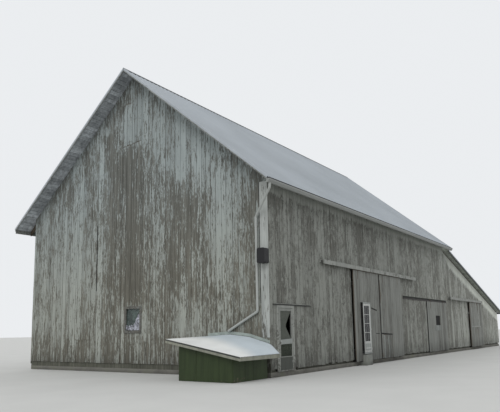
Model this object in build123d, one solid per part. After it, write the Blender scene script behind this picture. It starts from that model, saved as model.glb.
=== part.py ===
from build123d import *
import math
import os

# Driving sizes of the barn, in millimetres
# x runs along the ridge from the near gable, y from the front wall to the rear wall, z up from the ground
WIDTH = 12200
LENGTH = 19000
LEANTO_LENGTH = 13900
EAVE_HEIGHT = 6550
ROOF_RISE_PER_METRE = 833
LEANTO_EAVE_DROP = 370
LEANTO_FALL_PER_METRE = 250
LEANTO_SIDE_EAVE = 300
LEANTO_END_EAVE = 350
RAKE_NEAR = 630
RAKE_FAR = 500
EAVE_FRONT = 434
EAVE_REAR = 616

# Roof skin, rafters and trim boards
METAL_AND_BOARDS = 55
RAFTER_DEPTH = 150
RAFTER_WIDTH = 50
RAFTER_SPACING = 1180
BOARD = 25
BARGE_DEPTH = 45
LEANTO_BARGE_DEPTH = 120
RIDGE_CAP_REACH = 170
RIDGE_CAP_METAL = 6

# Footing, sills and siding
FOOTING_HEIGHT = 150
FOOTING_WIDTH = 320
FOOTING_SETBACK = 20
SILL = 200
FRONT_SIDING_FOOT = 260
GABLE_SIDING_FOOT = 340
SKIRTING_GAP = 5
GIRT = 50
GIRT_HEIGHT = 125
LOW_GIRT = 1700
GIRTS_BELOW_EAVE = (2200, 800)
GABLE_GIRTS_BELOW_EAVE = (3650, 1950, 250, -1550)

# Timber frame
POST = 200
TIE_DEPTH = 250
TIE_BELOW_EAVE = 850
BRACE = 130
BRACE_REACH = 900
INNER_POST_SHARE = 1 / 3
PURLIN_INSET = 3300
COLLAR_RISE = 2400
SECOND_BENT = 5860
THIRD_BENT = 11420
LINTEL_DEPTH = 250
LINTEL_LIFT = 50

# Doorways in the front wall: the main one fits between two bents, the middle one ends beside the far bent
DOORWAY_TO_POST = 30
STORM_LEFT = 420
STORM_WIDTH = 940
STORM_HEAD = 2180
MAIN_HEAD = 3710
MAIN_LEFT_SHARE = 0.481
MID_WIDTH = 3155
MID_HEAD = 2800
FAR_LEFT = 24160
FAR_WIDTH = 3240
FAR_HEAD = 2980

# Leaves, their running gear and hinges
LEAF_FOOT = 250
LEAF_BOARD = 22
LEAF_LEDGE = 28
LEDGE_WIDTH = 150
LEAF_TO_WALL = 75
LEAF_LAP = 40
LEAF_MEETING_GAP = 20
RUNNING_GAP = 10
WHEEL_GAP = 0.3
RAIL_WIDTH = 76
RAIL_HEIGHT = 70
RAIL_METAL = 4
RAIL_SLOT = 24
RAIL_TO_LEAF = 45
WHEEL_RADIUS = 22
WHEEL_WIDTH = 14
BOLT_RADIUS = 6
STRAP_LENGTH = 380
STRAP_METAL = 6
HOOD_REACH = 195
HOOD_FACE = 130
HOOD_LIFT = 120
MAIN_TRACK_LEFT = 3420
MAIN_TRACK_RIGHT = 13480
FAR_TRACK_LEFT = 19600
FAR_TRACK_RIGHT = 27480
HINGE_GAP = 5
HINGE_OFFSET = 12
PIN_RADIUS = 5
PIN_PLAY = 0.3
KNUCKLE_RADIUS = 9
KNUCKLE_HEIGHT = 80
HINGE_CAP = 12
HINGE_CAP_RADIUS = 8
HINGE_STRAP = 90
HINGE_ARM = 35

# The middle door runs close to the wall on a flat bar, behind the main leaf's path
MID_LEAF_WIDTH = 3570
MID_LEAF_TO_WALL = 18
MID_LEAF_LEDGE = 10
BAR_LEFT = 11970
BAR_RIGHT = 19130
BAR_HEIGHT = 60
BAR_METAL = 8
BAR_TO_LEAF = 10
BAR_OFF_WALL = 30
BAR_BOLTS = 9
SPACER_RADIUS = 12
BOLT_HEAD_RADIUS = 10
BOLT_HEAD = 5
TREAD_RADIUS = 28
FLANGE_RADIUS = 36
FLANGE = 4
BAR_STOP = 30

# Storm door and its casing
CASING_WIDTH = 90
CASING_PROUD = 40
STORM_JAMB = 30
STORM_HEAD_JAMB = 20
STORM_LEAF = 33
STORM_STILE = 85
STORM_MID_RAIL = 1010
STORM_KICK_TOP = 620
LATCH_INSET = 20
LATCH_WIDTH = 40
LATCH_REACH = 45

# Glazed walk door in the left main leaf
WALK_LEFT = 6630
WALK_WIDTH = 810
WALK_ABOVE_STEP = 35
WALK_HEAD = 2530
WALK_FRAME = 45
WALK_PROUD = 90
WALK_LEAF = 40
WALK_STILE = 80
WALK_RECESS = 12
KNOB_LEVEL = 1300
KNOB_REACH = 45
KNOB_RADIUS = 20
WALK_GLASS_FOOT = 940
GLASS = 6
STEP_LEFT = 6640
STEP_WIDTH = 620
STEP_HEIGHT = 420
STEP_NEAR = 140
STEP_DEPTH = 140

# Window, loft hatch and the small light in the middle door
WINDOW_NEAR = 5650
WINDOW_WIDTH = 790
WINDOW_SILL = 1500
WINDOW_HEIGHT = 870
WINDOW_TRIM = 60
HATCH_BEFORE_RIDGE = 440
HATCH_WIDTH = 1030
HATCH_BELOW_RIDGE = 1210
HATCH_HEIGHT = 1600
LIGHT_INSET = 1420
LIGHT_WIDTH = 760
LIGHT_FOOT = 1590
LIGHT_HEIGHT = 525

# Gutter, downspout, corner board, meter box and conduit
FASCIA_DEPTH = 150
FASCIA_SETBACK = 40
GUTTER_WIDTH = 120
GUTTER_DEPTH = 120
GUTTER_METAL = 4
GUTTER_PAST_ROOF = 40
GUTTER_COUNT = 7
GUTTER_JOINT = 0.5
SPOUT_RADIUS = 40
SPOUT_METAL = 3
SPOUT_OFF_WALL = 85
SPOUT_ALONG = 405
SPOUT_FROM_ROOF_EDGE = 90
SPOUT_BEND = 100
SPOUT_DROP = 140
SPOUT_TO_WALL = 900
SPOUT_FOOT_BEND = 2050
SPOUT_END = (1560, 1450)
SPOUT_STRAP = 30
SPOUT_STRAPS_BELOW = (1750, 2850, 3900)
CORNER_BOARD = 22
CORNER_BOARD_WIDTH = 300
CORNER_BOARD_FOOT = 1235
METER_DEPTH = 260
METER_WIDTH = 290
METER_HEIGHT = 480
METER_BELOW_EAVE = 3000
METER_ROUNDING = 45
CONDUIT_RADIUS = 14
CONDUIT_BELOW_EAVE = 4250

# Low annex against the near gable
ANNEX_REACH = 1900
ANNEX_NEAR = 60
ANNEX_FAR = 2080
ANNEX_BOARD = 30
ANNEX_ROOF_REACH = 2100
ANNEX_EAVE = 330
ANNEX_BENDS = (780, 1530)
ANNEX_HIGH_EDGE = 2460
ANNEX_FRONT_HEIGHTS = (740, 800, 945, 1082, 1252)
ANNEX_WALL_HEIGHTS = (755, 1050, 1270, 1352, 1300)
ANNEX_TALLEST = 1600
ANNEX_ROOF = 28
ANNEX_LOW_SIDE_GAP = 120
ANNEX_FASCIA_SETBACK = 10
ANNEX_FASCIA_DEPTH = 95
ANNEX_FLASHING = 90

slope = ROOF_RISE_PER_METRE / 1000
pitch = math.atan(slope)
leanto_slope = LEANTO_FALL_PER_METRE / 1000
leanto_pitch = math.atan(leanto_slope)
total_length = LENGTH + LEANTO_LENGTH
leanto_top = EAVE_HEIGHT - LEANTO_EAVE_DROP
post_face = BOARD + GIRT
post_back = post_face + POST
sill_top = FOOTING_HEIGHT + SILL
tie_underside = EAVE_HEIGHT - TIE_BELOW_EAVE
girt_levels = [LOW_GIRT] + [EAVE_HEIGHT - drop for drop in GIRTS_BELOW_EAVE]
gable_girt_levels = [EAVE_HEIGHT - drop for drop in GABLE_GIRTS_BELOW_EAVE]
last_bent = LENGTH - post_face - POST
storm_right = STORM_LEFT + STORM_WIDTH
main_left = SECOND_BENT + POST + DOORWAY_TO_POST
main_right = THIRD_BENT - DOORWAY_TO_POST
mid_right = last_bent - DOORWAY_TO_POST
mid_left = mid_right - MID_WIDTH
far_right = FAR_LEFT + FAR_WIDTH
pieces = {}


def roof_top(y):
    """Height of the main roof's top surface."""
    return EAVE_HEIGHT + slope * min(y, WIDTH - y)


def under_roof(y, depth=METAL_AND_BOARDS):
    """Height of a plane that lies at a square depth under the main roof's top surface."""
    return roof_top(y) - depth / math.cos(pitch)


def leanto_roof_top(x):
    """Height of the lean-to roof's top surface."""
    return leanto_top - leanto_slope * (x - LENGTH)


def under_leanto(x, depth=METAL_AND_BOARDS):
    """Height of a plane that lies at a square depth under the lean-to roof's top surface."""
    return leanto_roof_top(x) - depth / math.cos(leanto_pitch)


def block(x0, x1, y0, y1, z0, z1):
    """A squared piece between two corners."""
    return Pos(x0, y0, z0) * Box(x1 - x0, y1 - y0, z1 - z0, align=(Align.MIN, Align.MIN, Align.MIN))


def across(outline, x0, x1):
    """A piece with one (y, z) outline from x0 to x1."""
    face = Face(Wire.make_polygon([(x0, y, z) for y, z in outline]))
    return extrude(face, amount=x1 - x0, dir=(1, 0, 0))


def along(outline, y0, y1):
    """A piece with one (x, z) outline from y0 to y1."""
    face = Face(Wire.make_polygon([(x, y0, z) for x, z in outline]))
    return extrude(face, amount=y1 - y0, dir=(0, 1, 0))


def rod(start, end, radius):
    """A round bar between two points."""
    start, end = Vector(*start), Vector(*end)
    axis = end - start
    return Plane(origin=start, z_dir=axis) * Cylinder(radius, axis.length, align=(Align.CENTER, Align.CENTER, Align.MIN))


def joined(solids):
    """One solid from pieces that touch or cross."""
    whole = solids[0]
    for solid in solids[1:]:
        whole = whole + solid
    return whole


def group(solids):
    """Like pieces of one node that don't touch."""
    return Compound(children=[Compound(solid.solids()) for solid in solids])


# Footing ring and timber sills

def footing():
    """A concrete ring under all the outer walls."""
    near, far = FOOTING_SETBACK, total_length - FOOTING_SETBACK
    front, rear = FOOTING_SETBACK, WIDTH - FOOTING_SETBACK
    outside = block(near, far, front, rear, 0, FOOTING_HEIGHT)
    inside = block(near + FOOTING_WIDTH, far - FOOTING_WIDTH, front + FOOTING_WIDTH, rear - FOOTING_WIDTH,
                   -1, FOOTING_HEIGHT + 1)
    return outside - inside


front_doorways = (
    (STORM_LEFT, storm_right),
    (main_left, main_right),
    (mid_left, mid_right),
    (FAR_LEFT, far_right),
)


def sills():
    """Timber sills on the footing, left out at the doorways, and a skirting under the near gable."""
    timbers = [block(FOOTING_SETBACK, post_face, BOARD, WIDTH - BOARD, FOOTING_HEIGHT,
                     GABLE_SIDING_FOOT - SKIRTING_GAP)]
    start = post_face
    for left, right in front_doorways:
        timbers.append(block(start, left, post_face, post_back, FOOTING_HEIGHT, sill_top))
        start = right
    end = total_length - post_face
    timbers.append(block(start, end, post_face, post_back, FOOTING_HEIGHT, sill_top))
    rear_face, rear_back = WIDTH - post_face, WIDTH - post_back
    timbers.append(block(post_face, end, rear_back, rear_face, FOOTING_HEIGHT, sill_top))
    for x in (post_face, end - SILL):
        timbers.append(block(x, x + SILL, post_back, rear_back, FOOTING_HEIGHT, sill_top))
    return joined(timbers)


pieces["footing"] = footing()
pieces["timber_sills"] = sills()


# Timber frame

plate_top = under_roof(post_face + POST / 2, METAL_AND_BOARDS + RAFTER_DEPTH)
purlin_top = under_roof(PURLIN_INSET, METAL_AND_BOARDS + RAFTER_DEPTH)


def mirrored(outline):
    """The same outline on the rear half of the barn."""
    return [(WIDTH - y, z) for y, z in reversed(outline)]


def knee_brace(y, top, direction):
    """A brace from a post's face up to the beam over it."""
    reach = BRACE_REACH * direction
    depth = BRACE * direction * math.sqrt(2)
    outline = [(y, top - BRACE_REACH), (y + reach, top), (y + reach - depth, top), (y, top - BRACE_REACH + abs(depth))]
    return outline if direction > 0 else list(reversed(outline))


def cross_frame(x, post_top, beam_top, inner_foot):
    """Outer and inner posts with a beam across and braces, square to the ridge."""
    x1 = x + POST
    brace0, brace1 = x + (POST - BRACE) / 2, x + (POST + BRACE) / 2
    beam_foot = beam_top - TIE_DEPTH
    inner = WIDTH * INNER_POST_SHARE
    timbers = [block(x, x1, post_back - 1, WIDTH - post_back + 1, beam_foot, beam_top)]
    for y in (post_face, WIDTH - post_back):
        timbers.append(block(x, x1, y, y + POST, sill_top, post_top))
    for y in (inner - POST / 2, WIDTH - inner - POST / 2):
        timbers.append(block(x, x1, y, y + POST, inner_foot, beam_foot + 1))
    for y, direction in ((post_back, 1), (WIDTH - post_back, -1)):
        timbers.append(across(knee_brace(y, beam_foot, direction), brace0, brace1))
    for y, direction in ((inner + POST / 2, 1), (WIDTH - inner - POST / 2, -1)):
        timbers.append(across(knee_brace(y, beam_foot, direction), brace0, brace1))
    return joined(timbers)


def bent(x, inner_foot):
    """A main cross frame, with queen posts and a collar up to the purlins."""
    x1 = x + POST
    tie_top = tie_underside + TIE_DEPTH
    timbers = [cross_frame(x, plate_top - POST, tie_top, inner_foot)]
    for y in (PURLIN_INSET - POST / 2, WIDTH - PURLIN_INSET - POST / 2):
        timbers.append(block(x, x1, y, y + POST, tie_top, purlin_top - POST))
    collar = tie_top + COLLAR_RISE
    timbers.append(block(x, x1, PURLIN_INSET, WIDTH - PURLIN_INSET, collar, collar + POST))
    return joined(timbers)


leanto_near = FAR_LEFT - POST
leanto_middle = far_right
leanto_end = total_length - post_face - POST


def leanto_beam_top(x):
    """Top of a beam that carries the lean-to rafters at the middle of its width."""
    return under_leanto(x + POST / 2, METAL_AND_BOARDS + RAFTER_DEPTH)


pieces["near_bent"] = bent(post_face, sill_top)
pieces["second_bent"] = bent(SECOND_BENT, 0)
pieces["third_bent"] = bent(THIRD_BENT, 0)
pieces["far_bent"] = bent(last_bent, 0)



def rafter_ledger():
    """The timber on the far bent that carries the heads of the lean-to rafters."""
    depth = METAL_AND_BOARDS + RAFTER_DEPTH
    start, end = LENGTH - post_face, LENGTH + GIRT
    top = under_leanto(LENGTH, depth)
    foot = top - GIRT_HEIGHT
    outline = [(start, foot), (end, foot), (end, under_leanto(end, depth)), (LENGTH, top), (start, top)]
    return along(outline, post_face, WIDTH - post_face)


leanto_frames = [rafter_ledger()]
for x, inner_foot in ((leanto_near, 0), (leanto_middle, 0), (leanto_end, sill_top)):
    leanto_frames.append(cross_frame(x, leanto_beam_top(x), leanto_beam_top(x), inner_foot))
pieces["leanto_frames"] = group(leanto_frames)


def long_timbers():
    """Wall plates and purlins that run the length of the main barn."""
    start, end = post_face, LENGTH - post_face
    timbers = []
    for y in (post_face, WIDTH - post_back):
        timbers.append(block(start, end, y, y + POST, plate_top - POST, plate_top))
    for y in (PURLIN_INSET - POST / 2, WIDTH - PURLIN_INSET - POST / 2):
        timbers.append(block(start, end, y, y + POST, purlin_top - POST, purlin_top))
    return timbers


def lintels():
    """A timber over each wide doorway, between the posts beside it."""
    spans = (
        (SECOND_BENT + POST, THIRD_BENT, MAIN_HEAD),
        (leanto_near + POST, leanto_middle, FAR_HEAD),
        (mid_left - POST, last_bent, MID_HEAD),
    )
    timbers = []
    for start, end, head in spans:
        foot = head + LINTEL_LIFT
        timbers.append(block(start, end, post_face, post_back, foot, foot + LINTEL_DEPTH))
    door_post = block(mid_left - POST, mid_left, post_face, post_back, sill_top, MID_HEAD + LINTEL_LIFT)
    timbers[-1] = timbers[-1] + door_post
    return timbers


pieces["plates_and_purlins"] = group(long_timbers())
pieces["door_lintels"] = group(lintels())


# Rafters, notched over the plates and purlins

def main_rafters(rear):
    """The common rafters of one slope."""
    eave = -(EAVE_REAR if rear else EAVE_FRONT) + FASCIA_SETBACK + BOARD
    ridge = WIDTH / 2
    outline = [(eave, under_roof(eave)), (ridge, under_roof(ridge)),
               (ridge, under_roof(ridge, METAL_AND_BOARDS + RAFTER_DEPTH)),
               (eave, under_roof(eave, METAL_AND_BOARDS + RAFTER_DEPTH))]
    if rear:
        outline = mirrored(outline)
    rafter = across(outline, 0, RAFTER_WIDTH)
    for timber in long_timbers():
        rafter = rafter - Pos(-POST * 2, 0, 0) * timber
    first = post_face + GIRT
    count = int((LENGTH - 2 * first - RAFTER_WIDTH) // RAFTER_SPACING) + 1
    spacing = (LENGTH - 2 * first - RAFTER_WIDTH) / count
    return [Pos(first + spacing * i, 0, 0) * rafter for i in range(count + 1)]


def leanto_rafters():
    """The lean-to rafters, from the far bent over both beams to the end eave."""
    start, end = LENGTH, total_length + LEANTO_END_EAVE - 2 * BOARD
    depth = METAL_AND_BOARDS + RAFTER_DEPTH
    outline = [(start, under_leanto(start)), (end, under_leanto(end)),
               (end, under_leanto(end, depth)), (start, under_leanto(start, depth))]
    rafter = along(outline, 0, RAFTER_WIDTH)
    for x in (leanto_near, leanto_middle, leanto_end):
        top = leanto_beam_top(x)
        rafter = rafter - block(x, x + POST, -POST, POST, top - TIE_DEPTH, top)
    first = post_face
    count = int((WIDTH - 2 * first - RAFTER_WIDTH) // RAFTER_SPACING) + 1
    spacing = (WIDTH - 2 * first - RAFTER_WIDTH) / count
    return [Pos(0, first + spacing * i, 0) * rafter for i in range(count + 1)]


pieces["main_rafters"] = group(main_rafters(False) + main_rafters(True))
pieces["leanto_rafters"] = group(leanto_rafters())


# Roof skins, ridge cap and trim

def roof_slope(rear):
    """Metal on boards, one slope of the main roof."""
    eave = -(EAVE_REAR if rear else EAVE_FRONT)
    ridge = WIDTH / 2
    outline = [(eave, roof_top(eave)), (ridge, roof_top(ridge)), (ridge, under_roof(ridge)), (eave, under_roof(eave))]
    if rear:
        outline = mirrored(outline)
    return across(outline, -RAKE_NEAR, LENGTH + RAKE_FAR)


def ridge_cap():
    """A folded metal cap over the ridge."""
    middle = WIDTH / 2
    reach = RIDGE_CAP_REACH * math.cos(pitch)
    lift = RIDGE_CAP_METAL / math.cos(pitch)
    edge = roof_top(middle - reach)
    outline = [(middle - reach, edge), (middle, roof_top(middle)), (middle + reach, edge),
               (middle + reach, edge + lift), (middle, roof_top(middle) + lift), (middle - reach, edge + lift)]
    return across(outline, -RAKE_NEAR, LENGTH + RAKE_FAR)


def leanto_roof():
    """Metal on boards over the lean-to."""
    start, end = LENGTH, total_length + LEANTO_END_EAVE
    outline = [(start, leanto_roof_top(start)), (end, leanto_roof_top(end)), (end, under_leanto(end)), (start, under_leanto(start))]
    return along(outline, -LEANTO_SIDE_EAVE, WIDTH + LEANTO_SIDE_EAVE)


def barge_board(x, rear):
    """A trim board under the roof's edge, from the eave's fascia to the ridge."""
    eave = -(EAVE_REAR if rear else EAVE_FRONT) + FASCIA_SETBACK
    ridge = WIDTH / 2
    depth = METAL_AND_BOARDS + BARGE_DEPTH
    outline = [(eave, under_roof(eave)), (ridge, under_roof(ridge)), (ridge, under_roof(ridge, depth)), (eave, under_roof(eave, depth))]
    if rear:
        outline = mirrored(outline)
    return across(outline, x, x + BOARD)


def eave_fascia(rear):
    """The board across the rafter ends of one long eave."""
    outer = -(EAVE_REAR if rear else EAVE_FRONT) + FASCIA_SETBACK
    top0, top1 = under_roof(outer), under_roof(outer + BOARD)
    outline = [(outer, top0), (outer + BOARD, top1), (outer + BOARD, top0 - FASCIA_DEPTH), (outer, top0 - FASCIA_DEPTH)]
    if rear:
        outline = mirrored(outline)
    return across(outline, -RAKE_NEAR + BOARD, LENGTH + RAKE_FAR - BOARD)


def leanto_trim():
    """Trim boards under both sloping edges and the low eave of the lean-to."""
    start, end = LENGTH + RAKE_FAR, total_length + LEANTO_END_EAVE
    depth = METAL_AND_BOARDS + LEANTO_BARGE_DEPTH
    outline = [(start, under_leanto(start)), (end, under_leanto(end)), (end, under_leanto(end, depth)), (start, under_leanto(start, depth))]
    front, rear = -LEANTO_SIDE_EAVE, WIDTH + LEANTO_SIDE_EAVE
    sides = [along(outline, front, front + BOARD), along(outline, rear - BOARD, rear)]
    low = [(end - BOARD, under_leanto(end - BOARD)), (end, under_leanto(end)), (end, under_leanto(end, depth)),
           (end - BOARD, under_leanto(end, depth))]
    return joined([along(low, front, rear)] + sides)


pieces["front_roof_slope"] = roof_slope(False)
pieces["rear_roof_slope"] = roof_slope(True)
pieces["ridge_cap"] = ridge_cap()
pieces["leanto_roof"] = leanto_roof()
pieces["eave_fascias"] = group([eave_fascia(False), eave_fascia(True)])
pieces["barge_boards"] = group([joined([barge_board(x, False), barge_board(x, True)]) for x in (-RAKE_NEAR, LENGTH + RAKE_FAR - BOARD)])
pieces["leanto_trim"] = leanto_trim()


# Siding

wall_top = under_roof(0, METAL_AND_BOARDS + RAFTER_DEPTH)


def girt_reach(level):
    """How far toward the low end a girt can run under the lean-to roof."""
    return LENGTH + (under_leanto(LENGTH, METAL_AND_BOARDS + RAFTER_DEPTH) - level - GIRT_HEIGHT) / leanto_slope - GIRT


def wall_panel(left, right, foot):
    """Front siding between two places along the wall, with its girts behind."""
    def top(x):
        return wall_top if x <= LENGTH else under_leanto(x, METAL_AND_BOARDS + RAFTER_DEPTH)
    outline = [(left, foot), (right, foot), (right, top(right))]
    if left < LENGTH < right:
        outline += [(LENGTH, under_leanto(LENGTH, METAL_AND_BOARDS + RAFTER_DEPTH)), (LENGTH, wall_top)]
    outline.append((left, top(left)))
    solids = [along(outline, 0, BOARD)]
    for level in girt_levels:
        end = min(right, girt_reach(level))
        if level > foot and end - left > GIRT_HEIGHT:
            solids.append(block(left, end, BOARD, post_face, level, level + GIRT_HEIGHT))
    return joined(solids)


def gable_outline(foot):
    """Outline of a gable wall up to the roof boards."""
    return [(0, foot), (WIDTH, foot), (WIDTH, under_roof(WIDTH)), (WIDTH / 2, under_roof(WIDTH / 2)), (0, under_roof(0))]


def gable_girts(x0, x1, lowest):
    """Girts behind a gable's siding, as long as the roof lets them be."""
    girts = []
    depth = METAL_AND_BOARDS + RAFTER_DEPTH
    for level in gable_girt_levels:
        top = level + GIRT_HEIGHT
        inset = max(BOARD, (top - under_roof(0, depth)) / slope)
        if level > lowest:
            girts.append(block(x0, x1, inset, WIDTH - inset, level, top))
    return girts


hatch_near = WIDTH / 2 - HATCH_BEFORE_RIDGE
hatch_foot = under_roof(WIDTH / 2) - HATCH_BELOW_RIDGE - HATCH_HEIGHT


def near_gable():
    """The near gable's siding, open at the window and the loft hatch."""
    wall = across(gable_outline(GABLE_SIDING_FOOT), 0, BOARD)
    wall = joined([wall] + gable_girts(BOARD, post_face, 0))
    window = block(-1, post_face + 1, WINDOW_NEAR, WINDOW_NEAR + WINDOW_WIDTH, WINDOW_SILL, WINDOW_SILL + WINDOW_HEIGHT)
    hatch = block(-1, BOARD, hatch_near, hatch_near + HATCH_WIDTH, hatch_foot, hatch_foot + HATCH_HEIGHT)
    return wall - window - hatch


def far_gable():
    """The main barn's far gable above the lean-to roof."""
    foot = leanto_top - (METAL_AND_BOARDS + RAFTER_DEPTH) / math.cos(leanto_pitch)
    wall = across(gable_outline(foot), LENGTH - BOARD, LENGTH)
    return joined([wall] + gable_girts(LENGTH - post_face, LENGTH - BOARD, foot))


def rear_wall():
    """The rear siding of the main barn and the lean-to."""
    depth = METAL_AND_BOARDS + RAFTER_DEPTH
    end = total_length - BOARD
    outline = [(BOARD, FRONT_SIDING_FOOT), (end, FRONT_SIDING_FOOT), (end, under_leanto(end, depth)),
               (LENGTH, under_leanto(LENGTH, depth)), (LENGTH, wall_top), (BOARD, wall_top)]
    solids = [along(outline, WIDTH - BOARD, WIDTH)]
    for level in girt_levels:
        girt_end = min(end - GIRT, girt_reach(level))
        solids.append(block(post_face, girt_end, WIDTH - post_face, WIDTH - BOARD, level, level + GIRT_HEIGHT))
    return joined(solids)


def leanto_end_wall():
    """The siding of the lean-to's low end."""
    top = under_leanto(total_length, METAL_AND_BOARDS + RAFTER_DEPTH)
    wall = block(total_length - BOARD, total_length, 0, WIDTH, FRONT_SIDING_FOOT, top)
    girt = block(total_length - post_face, total_length - BOARD, post_face, WIDTH - post_face,
                 LOW_GIRT, LOW_GIRT + GIRT_HEIGHT)
    return wall + girt


pieces["near_gable_wall"] = near_gable()
pieces["rear_wall"] = rear_wall()
pieces["leanto_end_wall"] = leanto_end_wall()
pieces["front_wall_at_corner"] = wall_panel(BOARD, STORM_LEFT, FRONT_SIDING_FOOT)
pieces["front_wall_over_storm_door"] = wall_panel(STORM_LEFT, storm_right, STORM_HEAD)
pieces["front_wall_left"] = wall_panel(storm_right, main_left, FRONT_SIDING_FOOT)
pieces["front_wall_over_main_doors"] = wall_panel(main_left, main_right, MAIN_HEAD)
pieces["front_wall_between_doors"] = wall_panel(main_right, mid_left, FRONT_SIDING_FOOT)
pieces["front_wall_over_middle_door"] = wall_panel(mid_left, mid_right, MID_HEAD)
pieces["front_wall_at_leanto"] = wall_panel(mid_right, FAR_LEFT, FRONT_SIDING_FOOT)
pieces["far_gable_wall"] = far_gable() - pieces["front_wall_at_leanto"] - pieces["rear_wall"]
pieces["front_wall_over_far_door"] = wall_panel(FAR_LEFT, far_right, FAR_HEAD)
pieces["front_wall_right"] = wall_panel(far_right, total_length - BOARD, FRONT_SIDING_FOOT)


# Hinges: the pin stands clear of the leaf's face, so that the leaf folds back round it

def fixed_hinge(pin, level):
    """The pin with its two caps and arms, on the casing."""
    half = KNUCKLE_HEIGHT / 2
    solids = [rod((*pin, level - half - HINGE_CAP), (*pin, level + half + HINGE_CAP), PIN_RADIUS)]
    for z in (level - half - HINGE_CAP, level + half):
        solids.append(rod((*pin, z), (*pin, z + HINGE_CAP), HINGE_CAP_RADIUS))
        solids.append(block(pin[0] + PIN_RADIUS / 2, pin[0] + HINGE_ARM, pin[1], pin[1] + HINGE_OFFSET, z, z + HINGE_CAP))
    return joined(solids)


def moving_hinge(pin, level):
    """The knuckle round the pin, with its strap on the leaf's face."""
    half = KNUCKLE_HEIGHT / 2 - 2 * PIN_PLAY
    metal = HINGE_OFFSET - KNUCKLE_RADIUS + 1
    face = pin[1] + HINGE_OFFSET
    strap = block(pin[0] - HINGE_STRAP, pin[0], face - metal, face, level - half, level + half)
    knuckle = rod((*pin, level - half), (*pin, level + half), KNUCKLE_RADIUS)
    hole = rod((*pin, level - half - 1), (*pin, level + half + 1), PIN_RADIUS + PIN_PLAY)
    return knuckle + strap - hole


# Storm door

storm_pin = (storm_right - STORM_JAMB - HINGE_GAP, -CASING_PROUD - HINGE_OFFSET)
storm_hinge_levels = (450, 1150, 1850)


def storm_casing():
    """Boards round the storm doorway, with jambs into the wall."""
    inner0, inner1 = STORM_LEFT + STORM_JAMB, storm_right - STORM_JAMB
    outer0, outer1 = inner0 - CASING_WIDTH, inner1 + CASING_WIDTH
    head = STORM_HEAD - STORM_HEAD_JAMB
    face = block(outer0, outer1, -CASING_PROUD, 0, FOOTING_HEIGHT, head + CASING_WIDTH)
    jambs = block(STORM_LEFT, storm_right, 0, post_face, FOOTING_HEIGHT, STORM_HEAD)
    doorway = block(inner0, inner1, -CASING_PROUD - 1, post_face + 1, FOOTING_HEIGHT - 1, head)
    solids = [face + jambs - doorway]
    for level in storm_hinge_levels:
        solids.append(fixed_hinge(storm_pin, level))
    return joined(solids)


def storm_door():
    """The storm door's frame, with openings for its upper screen and lower pane."""
    left, right = STORM_LEFT + STORM_JAMB + 2 * HINGE_GAP, storm_right - STORM_JAMB - 2 * HINGE_GAP
    foot, head = FOOTING_HEIGHT + RUNNING_GAP, STORM_HEAD - STORM_HEAD_JAMB - RUNNING_GAP
    front, back = -CASING_PROUD, -CASING_PROUD + STORM_LEAF
    leaf = block(left, right, front, back, foot, head)
    screen = block(left + STORM_STILE, right - STORM_STILE, front - 1, back + 1, STORM_MID_RAIL + STORM_STILE, head - STORM_STILE)
    pane = block(left + STORM_STILE, right - STORM_STILE, front - 1, back + 1, STORM_KICK_TOP, STORM_MID_RAIL)
    leaf = leaf - screen - pane
    latch_left, latch_foot = left + LATCH_INSET, STORM_MID_RAIL + LATCH_INSET
    latch = block(latch_left, latch_left + LATCH_WIDTH, front - LATCH_REACH, front, latch_foot, latch_foot + LATCH_WIDTH)
    return joined([leaf, latch] + [moving_hinge(storm_pin, level) for level in storm_hinge_levels])


def storm_pane():
    """The lower pane of the storm door."""
    left, right = STORM_LEFT + STORM_JAMB + 2 * HINGE_GAP + STORM_STILE, storm_right - STORM_JAMB - 2 * HINGE_GAP - STORM_STILE
    middle = -CASING_PROUD + STORM_LEAF / 2
    return block(left, right, middle - GLASS / 2, middle + GLASS / 2, STORM_KICK_TOP, STORM_MID_RAIL)


pieces["storm_door_casing"] = storm_casing()
pieces["storm_door"] = storm_door()
pieces["storm_door_pane"] = storm_pane()


# Sliding doors: a box rail under a hood, with two-wheeled hangers bolted to each leaf

leaf_back = -LEAF_TO_WALL
leaf_front = leaf_back - LEAF_LEDGE - LEAF_BOARD
rail_middle = (leaf_front + leaf_back) / 2


def hooded_track(left, right, hood_foot):
    """The hood boards, the box rail under them and the blocks that carry it."""
    hood_top = hood_foot + HOOD_FACE + BOARD
    rail_top = hood_top - BOARD
    rail_foot = rail_top - RAIL_HEIGHT
    half = RAIL_WIDTH / 2
    face = block(left, right, -HOOD_REACH, -HOOD_REACH + BOARD, hood_foot, rail_top)
    lid = block(left, right, -HOOD_REACH, 0, rail_top, hood_top)
    rail = block(left, right, rail_middle - half, rail_middle + half, rail_foot, rail_top)
    inside = block(left - 1, right + 1, rail_middle - half + RAIL_METAL, rail_middle + half - RAIL_METAL,
                   rail_foot + RAIL_METAL, rail_top - RAIL_METAL)
    slot = block(left - 1, right + 1, rail_middle - RAIL_SLOT / 2, rail_middle + RAIL_SLOT / 2, rail_foot - 1, rail_foot + RAIL_METAL + 1)
    ledger = block(left, right, rail_middle + half, 0, rail_foot, rail_top)
    return joined([face, lid, rail - inside - slot, ledger])


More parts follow.
